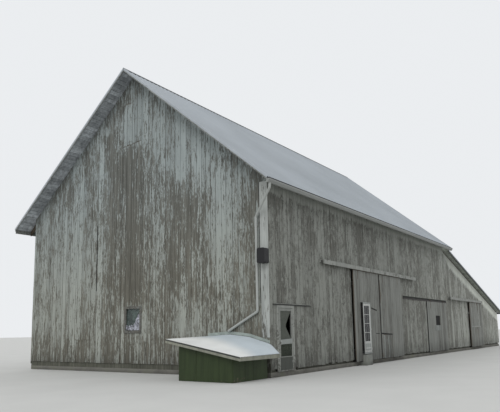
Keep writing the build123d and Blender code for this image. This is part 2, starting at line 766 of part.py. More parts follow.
def hanger(x, hood_foot, leaf_top):
    """Two wheels in the rail, their axle, and the bolt and strap down to the leaf."""
    lip_top = hood_foot + HOOD_FACE - RAIL_HEIGHT + RAIL_METAL
    axle = lip_top + WHEEL_GAP + WHEEL_RADIUS
    inner = RAIL_SLOT / 2 + 2
    solids = [rod((x, rail_middle - inner - WHEEL_WIDTH, axle), (x, rail_middle + inner + WHEEL_WIDTH, axle), BOLT_RADIUS)]
    for y in (rail_middle - inner - WHEEL_WIDTH, rail_middle + inner):
        solids.append(rod((x, y, axle), (x, y + WHEEL_WIDTH, axle), WHEEL_RADIUS))
    solids.append(rod((x, rail_middle, leaf_top - 1), (x, rail_middle, axle), BOLT_RADIUS))
    strap_half = LEDGE_WIDTH / 6
    solids.append(block(x - strap_half, x + strap_half, leaf_front - STRAP_METAL, leaf_front, leaf_top - STRAP_LENGTH, leaf_top))
    solids.append(block(x - strap_half, x + strap_half, leaf_front - STRAP_METAL, leaf_back, leaf_top, leaf_top + STRAP_METAL))
    return joined(solids)


def sliding_leaf(left, right, hood_foot):
    """A boarded leaf with ledges behind, and its two hangers."""
    leaf_top = hood_foot + HOOD_FACE - RAIL_HEIGHT - RAIL_TO_LEAF
    boards = block(left, right, leaf_front, leaf_front + LEAF_BOARD, LEAF_FOOT, leaf_top)
    ledges = []
    for z in (LEAF_FOOT + LEDGE_WIDTH, (LEAF_FOOT + leaf_top - LEDGE_WIDTH) / 2, leaf_top - LEDGE_WIDTH):
        ledges.append(block(left, right, leaf_front + LEAF_BOARD, leaf_back, z, z + LEDGE_WIDTH))
    for x in (left, right - LEDGE_WIDTH):
        ledges.append(block(x, x + LEDGE_WIDTH, leaf_front + LEAF_BOARD, leaf_back, LEAF_FOOT, leaf_top))
    inset = (right - left) / 6
    hangers = [hanger(x, hood_foot, leaf_top) for x in (left + inset, right - inset)]
    return joined([boards] + ledges + hangers)


main_hood = MAIN_HEAD + HOOD_LIFT
main_meeting = main_left + (main_right - main_left) * MAIN_LEFT_SHARE
walk_sill = STEP_HEIGHT + WALK_ABOVE_STEP
walk_hole = block(WALK_LEFT, WALK_LEFT + WALK_WIDTH, leaf_front - 1, leaf_back + 1, walk_sill, WALK_HEAD)
pieces["main_door_track"] = hooded_track(MAIN_TRACK_LEFT, MAIN_TRACK_RIGHT, main_hood)
pieces["main_left_leaf"] = sliding_leaf(main_left - LEAF_LAP, main_meeting - LEAF_MEETING_GAP / 2, main_hood) - walk_hole
pieces["main_right_leaf"] = sliding_leaf(main_meeting + LEAF_MEETING_GAP / 2, main_right + LEAF_LAP, main_hood)
far_hood = FAR_HEAD + HOOD_LIFT
pieces["far_door_track"] = hooded_track(FAR_TRACK_LEFT, FAR_TRACK_RIGHT, far_hood)
pieces["far_leaf"] = sliding_leaf(FAR_LEFT - LEAF_LAP, far_right + LEAF_LAP, far_hood)


# Glazed walk door in the left main leaf

walk_face = leaf_front - WALK_PROUD
walk_inner0 = WALK_LEFT + WALK_FRAME
walk_inner1 = WALK_LEFT + WALK_WIDTH - WALK_FRAME
walk_pin = (walk_inner1 - HINGE_GAP, walk_face - HINGE_OFFSET)
walk_hinge_levels = (650, 1430, 2220)


def walk_frame():
    """A boxed frame that stands proud of the sliding leaf."""
    outside = block(WALK_LEFT, WALK_LEFT + WALK_WIDTH, walk_face, leaf_back, walk_sill, WALK_HEAD)
    inside = block(walk_inner0, walk_inner1, walk_face - 1, leaf_back + 1, walk_sill + WALK_FRAME, WALK_HEAD - WALK_FRAME)
    solids = [outside - inside]
    for level in walk_hinge_levels:
        solids.append(fixed_hinge(walk_pin, level))
    return joined(solids)


def walk_leaf_box(inset, low, high, front, back):
    """A box inside the walk door's leaf, set in from its edges."""
    left, right = walk_inner0 + 2 * HINGE_GAP, walk_inner1 - 2 * HINGE_GAP
    return block(left + inset, right - inset, front, back, low, high)


walk_foot = walk_sill + WALK_FRAME + RUNNING_GAP
walk_head = WALK_HEAD - WALK_FRAME - RUNNING_GAP


def walk_door():
    """The walk door's leaf: stiles, rails and a solid foot, open for its glass."""
    leaf = walk_leaf_box(0, walk_foot, walk_head, walk_face, walk_face + WALK_LEAF)
    opening = walk_leaf_box(WALK_STILE, WALK_GLASS_FOOT, walk_head - WALK_STILE, walk_face - 1, walk_face + WALK_LEAF + 1)
    recess = walk_leaf_box(WALK_STILE, walk_foot + WALK_STILE, WALK_GLASS_FOOT - WALK_STILE, walk_face - 1, walk_face + WALK_RECESS)
    leaf = leaf - opening - recess
    knob_x = walk_inner0 + 2 * HINGE_GAP + WALK_STILE / 2
    knob = rod((knob_x, walk_face + 1, KNOB_LEVEL), (knob_x, walk_face - KNOB_REACH, KNOB_LEVEL), KNOB_RADIUS)
    return joined([leaf, knob] + [moving_hinge(walk_pin, level) for level in walk_hinge_levels])


middle = walk_face + WALK_LEAF / 2
pieces["walk_door_frame"] = walk_frame()
pieces["walk_door"] = walk_door()
pieces["walk_door_glass"] = walk_leaf_box(WALK_STILE, WALK_GLASS_FOOT, walk_head - WALK_STILE, middle - GLASS / 2, middle + GLASS / 2)
step = block(STEP_LEFT, STEP_LEFT + STEP_WIDTH, -STEP_NEAR - STEP_DEPTH, -STEP_NEAR, 0, STEP_HEIGHT)
step_foot = block(STEP_LEFT, STEP_LEFT + STEP_WIDTH, -STEP_NEAR, FOOTING_SETBACK, 0, FOOTING_HEIGHT)
pieces["door_step"] = step + step_foot


# Middle door: one leaf on grooved wheels that run along the top edge of a flat bar

mid_leaf_back = -MID_LEAF_TO_WALL
mid_leaf_front = mid_leaf_back - MID_LEAF_LEDGE - LEAF_BOARD
mid_leaf_left = mid_left - 1.5 * LEAF_LAP
mid_leaf_top = MID_HEAD + LEAF_LAP + LEAF_MEETING_GAP
bar_foot = mid_leaf_top + BAR_TO_LEAF
bar_top = bar_foot + BAR_HEIGHT
bar_middle = -BAR_OFF_WALL - BAR_METAL / 2


def flat_track():
    """The flat bar, the bolts and spacers that hold it off the wall, and its end stops."""
    back, front = -BAR_OFF_WALL, -BAR_OFF_WALL - BAR_METAL
    solids = [block(BAR_LEFT, BAR_RIGHT, front, back, bar_foot, bar_top)]
    level = bar_foot + BAR_HEIGHT / 3
    inset = 2 * BAR_STOP
    pitch_along = (BAR_RIGHT - BAR_LEFT - 2 * inset) / (BAR_BOLTS - 1)
    for i in range(BAR_BOLTS):
        x = BAR_LEFT + inset + pitch_along * i
        solids.append(rod((x, back, level), (x, 0, level), SPACER_RADIUS))
        solids.append(rod((x, front - BOLT_HEAD, level), (x, front, level), BOLT_HEAD_RADIUS))
    for x in (BAR_LEFT, BAR_RIGHT - BAR_STOP):
        solids.append(block(x, x + BAR_STOP, front, back, bar_top, bar_top + BAR_STOP))
    return joined(solids)


def strap_hanger(x):
    """A grooved wheel on the bar, its axle, and the strap that carries the leaf."""
    axle = bar_top + WHEEL_GAP + TREAD_RADIUS
    groove = BAR_METAL / 2 + 1
    front = mid_leaf_front - STRAP_METAL
    solids = [rod((x, bar_middle - groove, axle), (x, bar_middle + groove, axle), TREAD_RADIUS)]
    for y in (bar_middle - groove - FLANGE, bar_middle + groove):
        solids.append(rod((x, y, axle), (x, y + FLANGE, axle), FLANGE_RADIUS))
    solids.append(rod((x, front - BOLT_HEAD, axle), (x, bar_middle, axle), BOLT_RADIUS))
    half = LEDGE_WIDTH / 6
    solids.append(block(x - half, x + half, front, mid_leaf_front, mid_leaf_top - STRAP_LENGTH, axle + half))
    return joined(solids)


def middle_leaf():
    """A boarded leaf with thin ledges behind, its small light and its two hangers."""
    right = mid_leaf_left + MID_LEAF_WIDTH
    ledge_front = mid_leaf_front + LEAF_BOARD
    solids = [block(mid_leaf_left, right, mid_leaf_front, ledge_front, LEAF_FOOT, mid_leaf_top)]
    for z in (LEAF_FOOT + LEDGE_WIDTH, (LEAF_FOOT + mid_leaf_top - LEDGE_WIDTH) / 2, mid_leaf_top - LEDGE_WIDTH):
        solids.append(block(mid_leaf_left, right, ledge_front, mid_leaf_back, z, z + LEDGE_WIDTH))
    for x in (mid_leaf_left, right - LEDGE_WIDTH):
        solids.append(block(x, x + LEDGE_WIDTH, ledge_front, mid_leaf_back, LEAF_FOOT, mid_leaf_top))
    inset = MID_LEAF_WIDTH / 6
    solids += [strap_hanger(x) for x in (mid_leaf_left + inset, right - inset)]
    left = mid_leaf_left + LIGHT_INSET
    light = block(left, left + LIGHT_WIDTH, mid_leaf_front - 1, mid_leaf_back + 1, LIGHT_FOOT, LIGHT_FOOT + LIGHT_HEIGHT)
    return joined(solids) - light


pieces["middle_door_track"] = flat_track()
pieces["middle_leaf"] = middle_leaf()


# Gable window and loft hatch

def window_frame():
    """Trim, sill and sash of the gable window."""
    y0, y1 = WINDOW_NEAR, WINDOW_NEAR + WINDOW_WIDTH
    z0, z1 = WINDOW_SILL, WINDOW_SILL + WINDOW_HEIGHT
    trim = block(-BOARD, 0, y0 - WINDOW_TRIM, y1 + WINDOW_TRIM, z0 - WINDOW_TRIM, z1 + WINDOW_TRIM)
    liner = block(0, post_face, y0, y1, z0, z1)
    sill = block(-2 * BOARD, -BOARD, y0 - WINDOW_TRIM, y1 + WINDOW_TRIM, z0 - WINDOW_TRIM, z0 - WINDOW_TRIM + BOARD)
    edge = 35
    opening = block(-BOARD - 1, post_face + 1, y0 + edge, y1 - edge, z0 + edge, z1 - edge)
    return joined([trim, liner, sill]) - opening


window_edge = 35
window_glass_x = post_face / 2
pieces["window_frame"] = window_frame()
pieces["window_glass"] = block(window_glass_x, window_glass_x + GLASS, WINDOW_NEAR + window_edge, WINDOW_NEAR + WINDOW_WIDTH - window_edge,
                               WINDOW_SILL + window_edge, WINDOW_SILL + WINDOW_HEIGHT - window_edge)
pieces["loft_hatch"] = block(0, BOARD, hatch_near, hatch_near + HATCH_WIDTH, hatch_foot, hatch_foot + HATCH_HEIGHT)


# Gutter, downspout, corner board, meter box and conduit

gutter_back = -EAVE_FRONT + FASCIA_SETBACK
gutter_top = under_roof(-EAVE_FRONT) - RUNNING_GAP


def gutter():
    """A formed gutter with closed ends on the front fascia, made in lengths that meet at plain joints."""
    back, front = gutter_back, gutter_back - GUTTER_WIDTH
    foot = gutter_top - GUTTER_DEPTH
    foot_front = back - GUTTER_WIDTH * 0.62
    outline = [(back, gutter_top), (back, foot), (foot_front, foot), (front, gutter_top - GUTTER_DEPTH * 0.35), (front, gutter_top)]
    hollow = [(back - GUTTER_METAL, gutter_top + 1), (back - GUTTER_METAL, foot + GUTTER_METAL),
              (foot_front + GUTTER_METAL / 2, foot + GUTTER_METAL),
              (front + GUTTER_METAL, gutter_top - GUTTER_DEPTH * 0.35), (front + GUTTER_METAL, gutter_top + 1)]
    start, end = -RAKE_NEAR - GUTTER_PAST_ROOF, LENGTH + RAKE_FAR + GUTTER_PAST_ROOF
    outlet_x, outlet_y = spout_points()[0][:2]
    outlet = rod((outlet_x, outlet_y, foot - 1), (outlet_x, outlet_y, foot + GUTTER_METAL + 1), SPOUT_RADIUS - SPOUT_METAL)
    channel = across(outline, start, end) - across(hollow, start + GUTTER_METAL, end - GUTTER_METAL) - outlet
    step = (end - start) / GUTTER_COUNT
    for i in range(1, GUTTER_COUNT):
        channel -= block(start + step * i, start + step * i + GUTTER_JOINT, front - 1, back + 1, foot - 1, gutter_top + 1)
    return channel


def spout_points():
    """The downspout's route, from the gutter to the annex roof."""
    y = gutter_back - GUTTER_WIDTH * 0.38
    top = gutter_top - GUTTER_DEPTH
    start_x = SPOUT_FROM_ROOF_EDGE - RAKE_NEAR
    return [(start_x, y, top), (start_x, y, top - SPOUT_DROP), (-SPOUT_OFF_WALL, SPOUT_ALONG, top - SPOUT_TO_WALL),
            (-SPOUT_OFF_WALL, SPOUT_ALONG, SPOUT_FOOT_BEND), (-SPOUT_OFF_WALL, *SPOUT_END)]


def downspout():
    """A round pipe with its bends, held by straps to the wall."""
    path = FilletPolyline(*spout_points(), radius=SPOUT_BEND)
    start = Plane(origin=path @ 0, z_dir=path % 0)
    pipe = sweep(start * Circle(SPOUT_RADIUS), path=path) - sweep(start * Circle(SPOUT_RADIUS - SPOUT_METAL), path=path)
    straps = []
    for drop in SPOUT_STRAPS_BELOW:
        low = EAVE_HEIGHT - drop
        high = low + SPOUT_STRAP
        ring = rod((-SPOUT_OFF_WALL, SPOUT_ALONG, low), (-SPOUT_OFF_WALL, SPOUT_ALONG, high), SPOUT_RADIUS + SPOUT_METAL)
        arm = block(-SPOUT_OFF_WALL, 0, SPOUT_ALONG - SPOUT_STRAP / 2, SPOUT_ALONG + SPOUT_STRAP / 2, low, high)
        hole = rod((-SPOUT_OFF_WALL, SPOUT_ALONG, low - 1), (-SPOUT_OFF_WALL, SPOUT_ALONG, high + 1), SPOUT_RADIUS - 1)
        straps.append(ring + arm - hole)
    return joined([pipe] + straps)


def meter_box():
    """A box with rounded corners on the corner board."""
    back = -CORNER_BOARD
    foot = EAVE_HEIGHT - METER_BELOW_EAVE
    box = block(back - METER_DEPTH, back, -CORNER_BOARD, METER_WIDTH - CORNER_BOARD, foot, foot + METER_HEIGHT)
    return fillet(box.edges().filter_by(Axis.X), METER_ROUNDING)


corner_top = wall_top - RAFTER_WIDTH
pieces["front_gutter"] = gutter()
pieces["downspout"] = downspout()
pieces["corner_board"] = block(-CORNER_BOARD, 0, 0, CORNER_BOARD_WIDTH, CORNER_BOARD_FOOT, corner_top)
conduit_y = CORNER_BOARD_WIDTH + CONDUIT_RADIUS + PIN_PLAY
conduit_foot = EAVE_HEIGHT - CONDUIT_BELOW_EAVE
conduit = rod((-CONDUIT_RADIUS, conduit_y, conduit_foot), (-CONDUIT_RADIUS, conduit_y, corner_top), CONDUIT_RADIUS)
pieces["meter_box_and_conduit"] = group([meter_box(), conduit])


# Annex: its roof metal is bent, level along the high part of the wall and steeper at the low corner

annex_places = (-ANNEX_EAVE, 0, *ANNEX_BENDS, ANNEX_HIGH_EDGE)
annex_front_line = list(zip(annex_places, ANNEX_FRONT_HEIGHTS))
annex_wall_line = list(zip(annex_places, ANNEX_WALL_HEIGHTS))


def annex_shell(thickness, lift=0):
    """A skin between the roof's front line and its line on the wall."""
    faces = []
    for x, line in ((-ANNEX_ROOF_REACH, annex_front_line), (0, annex_wall_line)):
        top = [(x, y, z + lift) for y, z in line]
        foot = [(x, y, z + lift - thickness) for y, z in reversed(line)]
        faces.append(Face(Wire.make_polygon(top + foot)))
    return loft(faces, ruled=True)


def annex_walls():
    """Three boarded walls, cut off under the roof."""
    height = ANNEX_TALLEST
    front = block(-ANNEX_REACH, -ANNEX_REACH + ANNEX_BOARD, ANNEX_NEAR, ANNEX_FAR, 0, height)
    low_side = block(-ANNEX_REACH, -ANNEX_LOW_SIDE_GAP, ANNEX_NEAR, ANNEX_NEAR + ANNEX_BOARD, 0, height)
    high_side = block(-ANNEX_REACH, 0, ANNEX_FAR - ANNEX_BOARD, ANNEX_FAR, 0, height)
    over = annex_shell(height, height - ANNEX_ROOF)
    return joined([front, low_side, high_side]) - over


def annex_fascia():
    """Boards under the roof's front and low edges."""
    front_x, low_y = -ANNEX_ROOF_REACH + ANNEX_FASCIA_SETBACK, -ANNEX_EAVE + ANNEX_FASCIA_SETBACK
    front = across([(y, z) for y, z in annex_front_line] + [(y, z - ANNEX_ROOF - ANNEX_FASCIA_DEPTH) for y, z in reversed(annex_front_line)],
                   front_x, front_x + BOARD)
    foot = annex_front_line[0][1] - ANNEX_ROOF - ANNEX_FASCIA_DEPTH
    low = block(front_x, 0, low_y, low_y + BOARD, foot, annex_wall_line[1][1])
    over = annex_shell(ANNEX_TALLEST, ANNEX_TALLEST - ANNEX_ROOF)
    trimmed = joined([front, low]) - over
    return trimmed - block(front_x - 1, front_x + BOARD + 1, -ANNEX_EAVE - 1, low_y, 0, ANNEX_TALLEST)


def annex_flashing():
    """The strip that covers the joint of roof and wall."""
    line = [(y, z) for y, z in annex_wall_line if 0 <= y <= ANNEX_BENDS[-1]]
    outline = line + [(y, z + ANNEX_FLASHING) for y, z in reversed(line)]
    return across(outline, -BOARD, 0)


pieces["annex_walls"] = annex_walls()
pieces["annex_roof"] = annex_shell(ANNEX_ROOF)
pieces["annex_trim"] = group([annex_fascia(), annex_flashing()])


# The origin is the middle of the whole barn's footprint, on the ground

whole = Compound(children=[Compound(piece.solids()) for piece in pieces.values()]).bounding_box()
origin = Pos(-(whole.min.X + whole.max.X) / 2, -(whole.min.Y + whole.max.Y) / 2, -whole.min.Z)
os.makedirs("parts", exist_ok=True)
for name, piece in pieces.items():
    export_step(origin * piece, f"parts/{name}.step")
print("nodes", len(pieces), "origin in the barn's own measure", tuple(round(-v, 3) for v in origin.position))
print("bounding box", whole.min, whole.max)
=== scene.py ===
"""A weathered timber barn with a lean-to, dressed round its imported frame."""

import math
import random

import bmesh
import bpy
from mathutils import Matrix, Vector, noise


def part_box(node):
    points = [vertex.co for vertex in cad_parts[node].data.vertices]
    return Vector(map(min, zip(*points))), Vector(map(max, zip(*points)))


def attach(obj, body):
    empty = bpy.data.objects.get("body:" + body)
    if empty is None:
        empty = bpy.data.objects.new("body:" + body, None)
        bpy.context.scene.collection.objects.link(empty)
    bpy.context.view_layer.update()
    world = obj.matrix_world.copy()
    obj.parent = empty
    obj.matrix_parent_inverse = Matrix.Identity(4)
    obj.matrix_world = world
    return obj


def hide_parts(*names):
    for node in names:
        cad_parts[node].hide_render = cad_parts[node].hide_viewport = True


bl_info = {
    "name": "Timber barn with lean-to",
    "version": (1, 0, 0),
    "blender": (4, 5, 0),
    "location": "View3D > Sidebar > Barn",
    "description": "Boards, metal roofs, doors and finishes of a weathered barn",
    "category": "Object",
}

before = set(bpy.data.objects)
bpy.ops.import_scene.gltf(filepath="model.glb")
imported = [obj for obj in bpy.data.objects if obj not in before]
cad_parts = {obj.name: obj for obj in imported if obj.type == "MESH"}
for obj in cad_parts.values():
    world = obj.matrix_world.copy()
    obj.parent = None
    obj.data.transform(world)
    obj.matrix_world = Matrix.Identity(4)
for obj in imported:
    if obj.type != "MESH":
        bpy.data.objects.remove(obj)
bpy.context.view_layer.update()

# The barn's own corner lies on the ground, where the outer faces of the near gable and the front wall meet
gable_low, gable_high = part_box("near_gable_wall")
CORNER = Vector((gable_low[0], gable_low[1], 0.0))


def at(x, y, z):
    """A place in the barn's own measure: along the front wall, across the gable, and up."""
    return Vector((x, y, z)) + CORNER


def span(node, side):
    """A node's low and high edge along x, y or z, in the barn's own measure."""
    low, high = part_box(node)
    i = "xyz".index(side)
    return low[i] - CORNER[i], high[i] - CORNER[i]


def corners(node):
    """A node's low and high corner in the barn's own measure."""
    return [Vector(corner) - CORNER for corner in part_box(node)]


def within(edges, inset):
    """A low and a high edge, both moved in."""
    return edges[0] + inset, edges[1] - inset


WIDTH = gable_high[1] - gable_low[1]
LENGTH = span("far_gable_wall", "x")[1]
TOTAL = span("leanto_end_wall", "x")[1]
FRONT_FOOT, FRONT_TOP = span("front_wall_left", "z")

# Each roof's top over its wall line, its rise for each metre, and the depth of the roof and the rafters
EAVE = 6.55
SLOPE = 0.833
LOW_EAVE = EAVE - 0.37
LOW_SLOPE = 0.25
PITCH = math.atan(SLOPE)
LOW_PITCH = math.atan(LOW_SLOPE)
ROOF_DEPTH = 0.055
RAFTER_DEPTH = 0.205


# Sizes and colours

def length(label, what, metres):
    return bpy.props.FloatProperty(name=label, description=what, default=metres, unit="LENGTH")


class BarnSizes(bpy.types.PropertyGroup):
    """Sizes of the barn's dressing."""

    board_narrow: length("Narrowest board", "Width of the narrowest wall board", 0.17)
    board_wide: length("Widest board", "Width of the widest wall board", 0.29)
    board_proud: length("Board face", "How far the boards stand out of the sheet behind", 0.009)
    board_gap: length("Board gap", "Usual gap between two boards", 0.007)
    rib_spacing: length("Rib spacing", "Distance between the roof metal's ribs", 0.2286)
    rib_height: length("Rib height", "Height of the roof metal's ribs", 0.019)
    deck_board: length("Roof board", "Width of the boards under the roof metal", 0.172)
    corrugation: length("Corrugation", "Width of one wave of the annex roof", 0.076)


def colour(label, what, value):
    return bpy.props.FloatVectorProperty(name=label, description=what, size=4, subtype="COLOR",
                                         min=0, max=1, default=(*value, 1.0))


class BarnColours(bpy.types.PropertyGroup):
    """Colours of the barn's finishes."""

    gable_paint: colour("Gable paint", "Pale paint left on the gable boards", (0.35, 0.373, 0.357))
    gable_wood: colour("Gable wood", "Bare weathered wood of the gable", (0.14, 0.136, 0.119))
    wall_paint: colour("Wall paint", "Worn paint of the front wall", (0.25, 0.258, 0.238))
    wall_wood: colour("Wall wood", "Bare wood of the front wall", (0.135, 0.135, 0.122))
    door_paint: colour("Door paint", "Worn paint of the sliding doors", (0.225, 0.232, 0.215))
    door_white: colour("White paint", "Paint of the walk door", (0.5, 0.51, 0.49))
    kick_panel: colour("Kick panel", "Dark panel low on the storm door", (0.062, 0.067, 0.058))
    screen: colour("Screen", "Torn screen of the storm door", (0.092, 0.1, 0.085))
    seam_wood: colour("Seam wood", "Wood in the shade of seams and cracks", (0.028, 0.029, 0.026))
    # Black of the ridge closures and a door crack; also painted shade, standing in for the shade in gaps,
    # openings and shaded edges
    black_and_shade: colour("Dark felt", "Edges and gaps in deep shade", (0.012, 0.012, 0.012))
    frame_wood: colour("Frame timber", "Timber of the inner frame", (0.12, 0.098, 0.075))
    sill_wood: colour("Sill timber", "Timber sills at the foot of the walls", (0.105, 0.106, 0.086))
    deck_wood: colour("Roof boards", "Boards under the main roof", (0.385, 0.41, 0.435))
    low_deck_wood: colour("Lean-to roof boards", "Boards under the lean-to roof", (0.46, 0.49, 0.44))
    roof_metal: colour("Roof metal", "Pale grey roof sheets", (0.395, 0.427, 0.455))
    ridge_metal: colour("Ridge metal", "Dark ridge cap", (0.07, 0.073, 0.078))
    trim_paint: colour("Trim paint", "Off-white paint of gutter and corner board", (0.44, 0.46, 0.44))
    rust: colour("Rust", "Rust spots on the gutter", (0.2, 0.11, 0.06))
    # Dark lean-to trim; also painted shade under the storm door's drip cap and under the annex roof's front
    # edge
    dark_trim_and_shade: colour("Dark trim", "Weathered trim of the lean-to", (0.07, 0.072, 0.068))
    annex_paint: colour("Annex paint", "Dark green paint of the annex", (0.034, 0.052, 0.019))
    # Annex roof tints: the pale sheet with the barn's shadow painted in as a bluish cast, and painted
    # sunlight along its low front edge
    annex_metal: colour("Annex metal", "Pale sheets of the annex roof", (0.54, 0.6, 0.635))
    sunlit_metal: colour("Washed metal", "Low edge of the annex roof", (0.78, 0.79, 0.77))
    annex_trim: colour("Annex trim", "Greyish boards under the annex roof", (0.27, 0.275, 0.225))
    flashing: colour("Flashing", "Sheet between the annex roof and the gable", (0.36, 0.41, 0.38))
    concrete: colour("Concrete", "Footing", (0.24, 0.235, 0.21))
    step_concrete: colour("Step", "Door step", (0.26, 0.27, 0.25))
    moss: colour("Moss", "Green growth on concrete", (0.11, 0.12, 0.075))
    plastic: colour("Plastic", "Crumpled plastic behind the gable window", (0.36, 0.37, 0.42))
    dark_glass: colour("Dark glass", "Panes of the walk door", (0.008, 0.009, 0.011))
    green_glass: colour("Green glass", "Pane of the storm door", (0.024, 0.031, 0.02))
    blue_glass: colour("Blue glass", "Pane of the gable window", (0.085, 0.115, 0.105))
    meter_metal: colour("Meter metal", "Meter box and conduit", (0.016, 0.016, 0.018))
    iron: colour("Iron", "Door tracks and hangers", (0.05, 0.045, 0.042))
    floor: colour("Floor", "Plain floor under the barn", (0.62, 0.62, 0.6))


def sizes():
    return bpy.context.scene.barn_sizes


def colours():
    return bpy.context.scene.barn_colours


# Shader maths

class Value:
    """A shader value that can be added, subtracted and multiplied like a number."""

    def __init__(self, nodes, socket):
        self.nodes, self.socket = nodes, socket

    def __add__(self, other):
        return self.nodes.maths("ADD", self, other)

    def __sub__(self, other):
        return self.nodes.maths("SUBTRACT", self, other)

    def __rsub__(self, other):
        return self.nodes.maths("SUBTRACT", other, self)

    def __mul__(self, other):
        return self.nodes.maths("MULTIPLY", self, other)

    __radd__, __rmul__ = __add__, __mul__


class Nodes:
    """A tree of shader nodes in the making."""

    def __init__(self, tree):
        self.tree = tree

    def node(self, kind, settings=None, inputs=None):
        """A node of any type, with its settings, and the values or links of its sockets."""
        made = self.tree.nodes.new(kind)
        for name, value in (settings or {}).items():
            setattr(made, name, value)
        for name, value in (inputs or {}).items():
            self.join(value, made.inputs[name])
        return made

    def join(self, value, socket):
        """Links a value to a socket, or sets the socket's own number or colour."""
        if isinstance(value, Value):
            value = value.socket
        if isinstance(value, bpy.types.NodeSocket):
            self.tree.links.new(value, socket)
        elif socket.type == "RGBA" and len(value) == 3:
            socket.default_value = (*value, 1.0)
        else:
            socket.default_value = value

    def maths(self, operation, first, second):
        made = self.node("ShaderNodeMath", {"operation": operation}, {0: first, 1: second})
        return Value(self, made.outputs[0])


class Finish(Nodes):
    """A material in the making."""

    def __init__(self, roughness, metallic=0.0, specular=0.3):
        self.material = bpy.data.materials.new("finish")
        self.material.use_nodes = True
        super().__init__(self.material.node_tree)
        self.surface = self.tree.nodes["Principled BSDF"].inputs
        self.join(roughness, self.surface["Roughness"])
        self.join(metallic, self.surface["Metallic"])
        self.join(specular, self.surface["Specular IOR Level"])

    def place(self):
        return self.node("ShaderNodeTexCoord").outputs["Object"]

    def parts(self):
        """The three distances of the place on the piece."""
        made = self.node("ShaderNodeSeparateXYZ", inputs={0: self.place()})
        return [Value(self, socket) for socket in made.outputs]

    def attribute(self, name):
        return Value(self, self.node("ShaderNodeAttribute", {"attribute_name": name}).outputs["Fac"])

    def vector(self, operation, first, second):
        return self.node("ShaderNodeVectorMath", {"operation": operation}, {0: first, 1: second}).outputs[0]

    def stretched(self, wide, tall, shift=None):
        """Places scaled across and along the boards, shifted from board to board."""
        scaled = self.vector("MULTIPLY", self.place(), (wide, wide, tall))
        if shift is None:
            return scaled
        jump = self.node("ShaderNodeCombineXYZ", inputs={
            "X": shift * 37.0, "Y": shift * 53.0, "Z": shift * 91.0})
        return self.vector("ADD", scaled, jump.outputs[0])

    def noise(self, place, scale=1.0, detail=4.0, rough=0.55, twist=0.0):
        made = self.node("ShaderNodeTexNoise", inputs={
            "Vector": place, "Scale": scale, "Detail": detail, "Roughness": rough, "Distortion": twist})
        return Value(self, made.outputs["Fac"])

    def step(self, value, low, high, out_low=0.0, out_high=1.0):
        """A value that goes smoothly from one number to another between two limits."""
        made = self.node("ShaderNodeMapRange", {"interpolation_type": "SMOOTHSTEP"}, {
            "Value": value, "From Min": low, "From Max": high, "To Min": out_low, "To Max": out_high})
        return Value(self, made.outputs["Result"])

    def blend(self, share, first, second, kind="MIX"):
        """Two colours mixed; the node's colour sockets are its seventh and eighth."""
        made = self.node("ShaderNodeMix", {"data_type": "RGBA", "blend_type": kind},
                         {0: share, 6: first, 7: second})
        return made.outputs[2]

    def shade(self, tint, amount):
        """A colour made darker or lighter by a value round 1."""
        grey = self.node("ShaderNodeCombineColor", inputs={0: amount, 1: amount, 2: amount})
        return self.blend(1.0, tint, grey.outputs[0], "MULTIPLY")

    def relief(self, height, distance, strength):
        made = self.node("ShaderNodeBump", inputs={
            "Height": height, "Distance": distance, "Strength": strength})
        self.join(made.outputs["Normal"], self.surface["Normal"])

    def finish(self, tint, roughness=None):
        self.join(tint, self.surface["Base Color"])
        if roughness is not None:
            self.join(roughness, self.surface["Roughness"])
        return self.material


# Finishes

def tinted(base, factor):
    """A colour scaled as a whole."""
    return tuple(min(1.0, c * factor) for c in base[:3])


def bare_wood(f, wood, shift=None, short=1.0):
    """Colour and relief of bare weathered wood, with its grain upright."""
    grain = f.noise(f.stretched(70.0, 2.2 * short, shift), detail=5.0, rough=0.65)
    streak = f.noise(f.stretched(11.0, 0.4 * short, shift), detail=3.0)
    silver = f.step(grain * 0.5 + streak * 0.5, 0.36, 0.64)
    return f.blend(silver, tinted(wood, 0.7), tinted(wood, 1.35)), grain


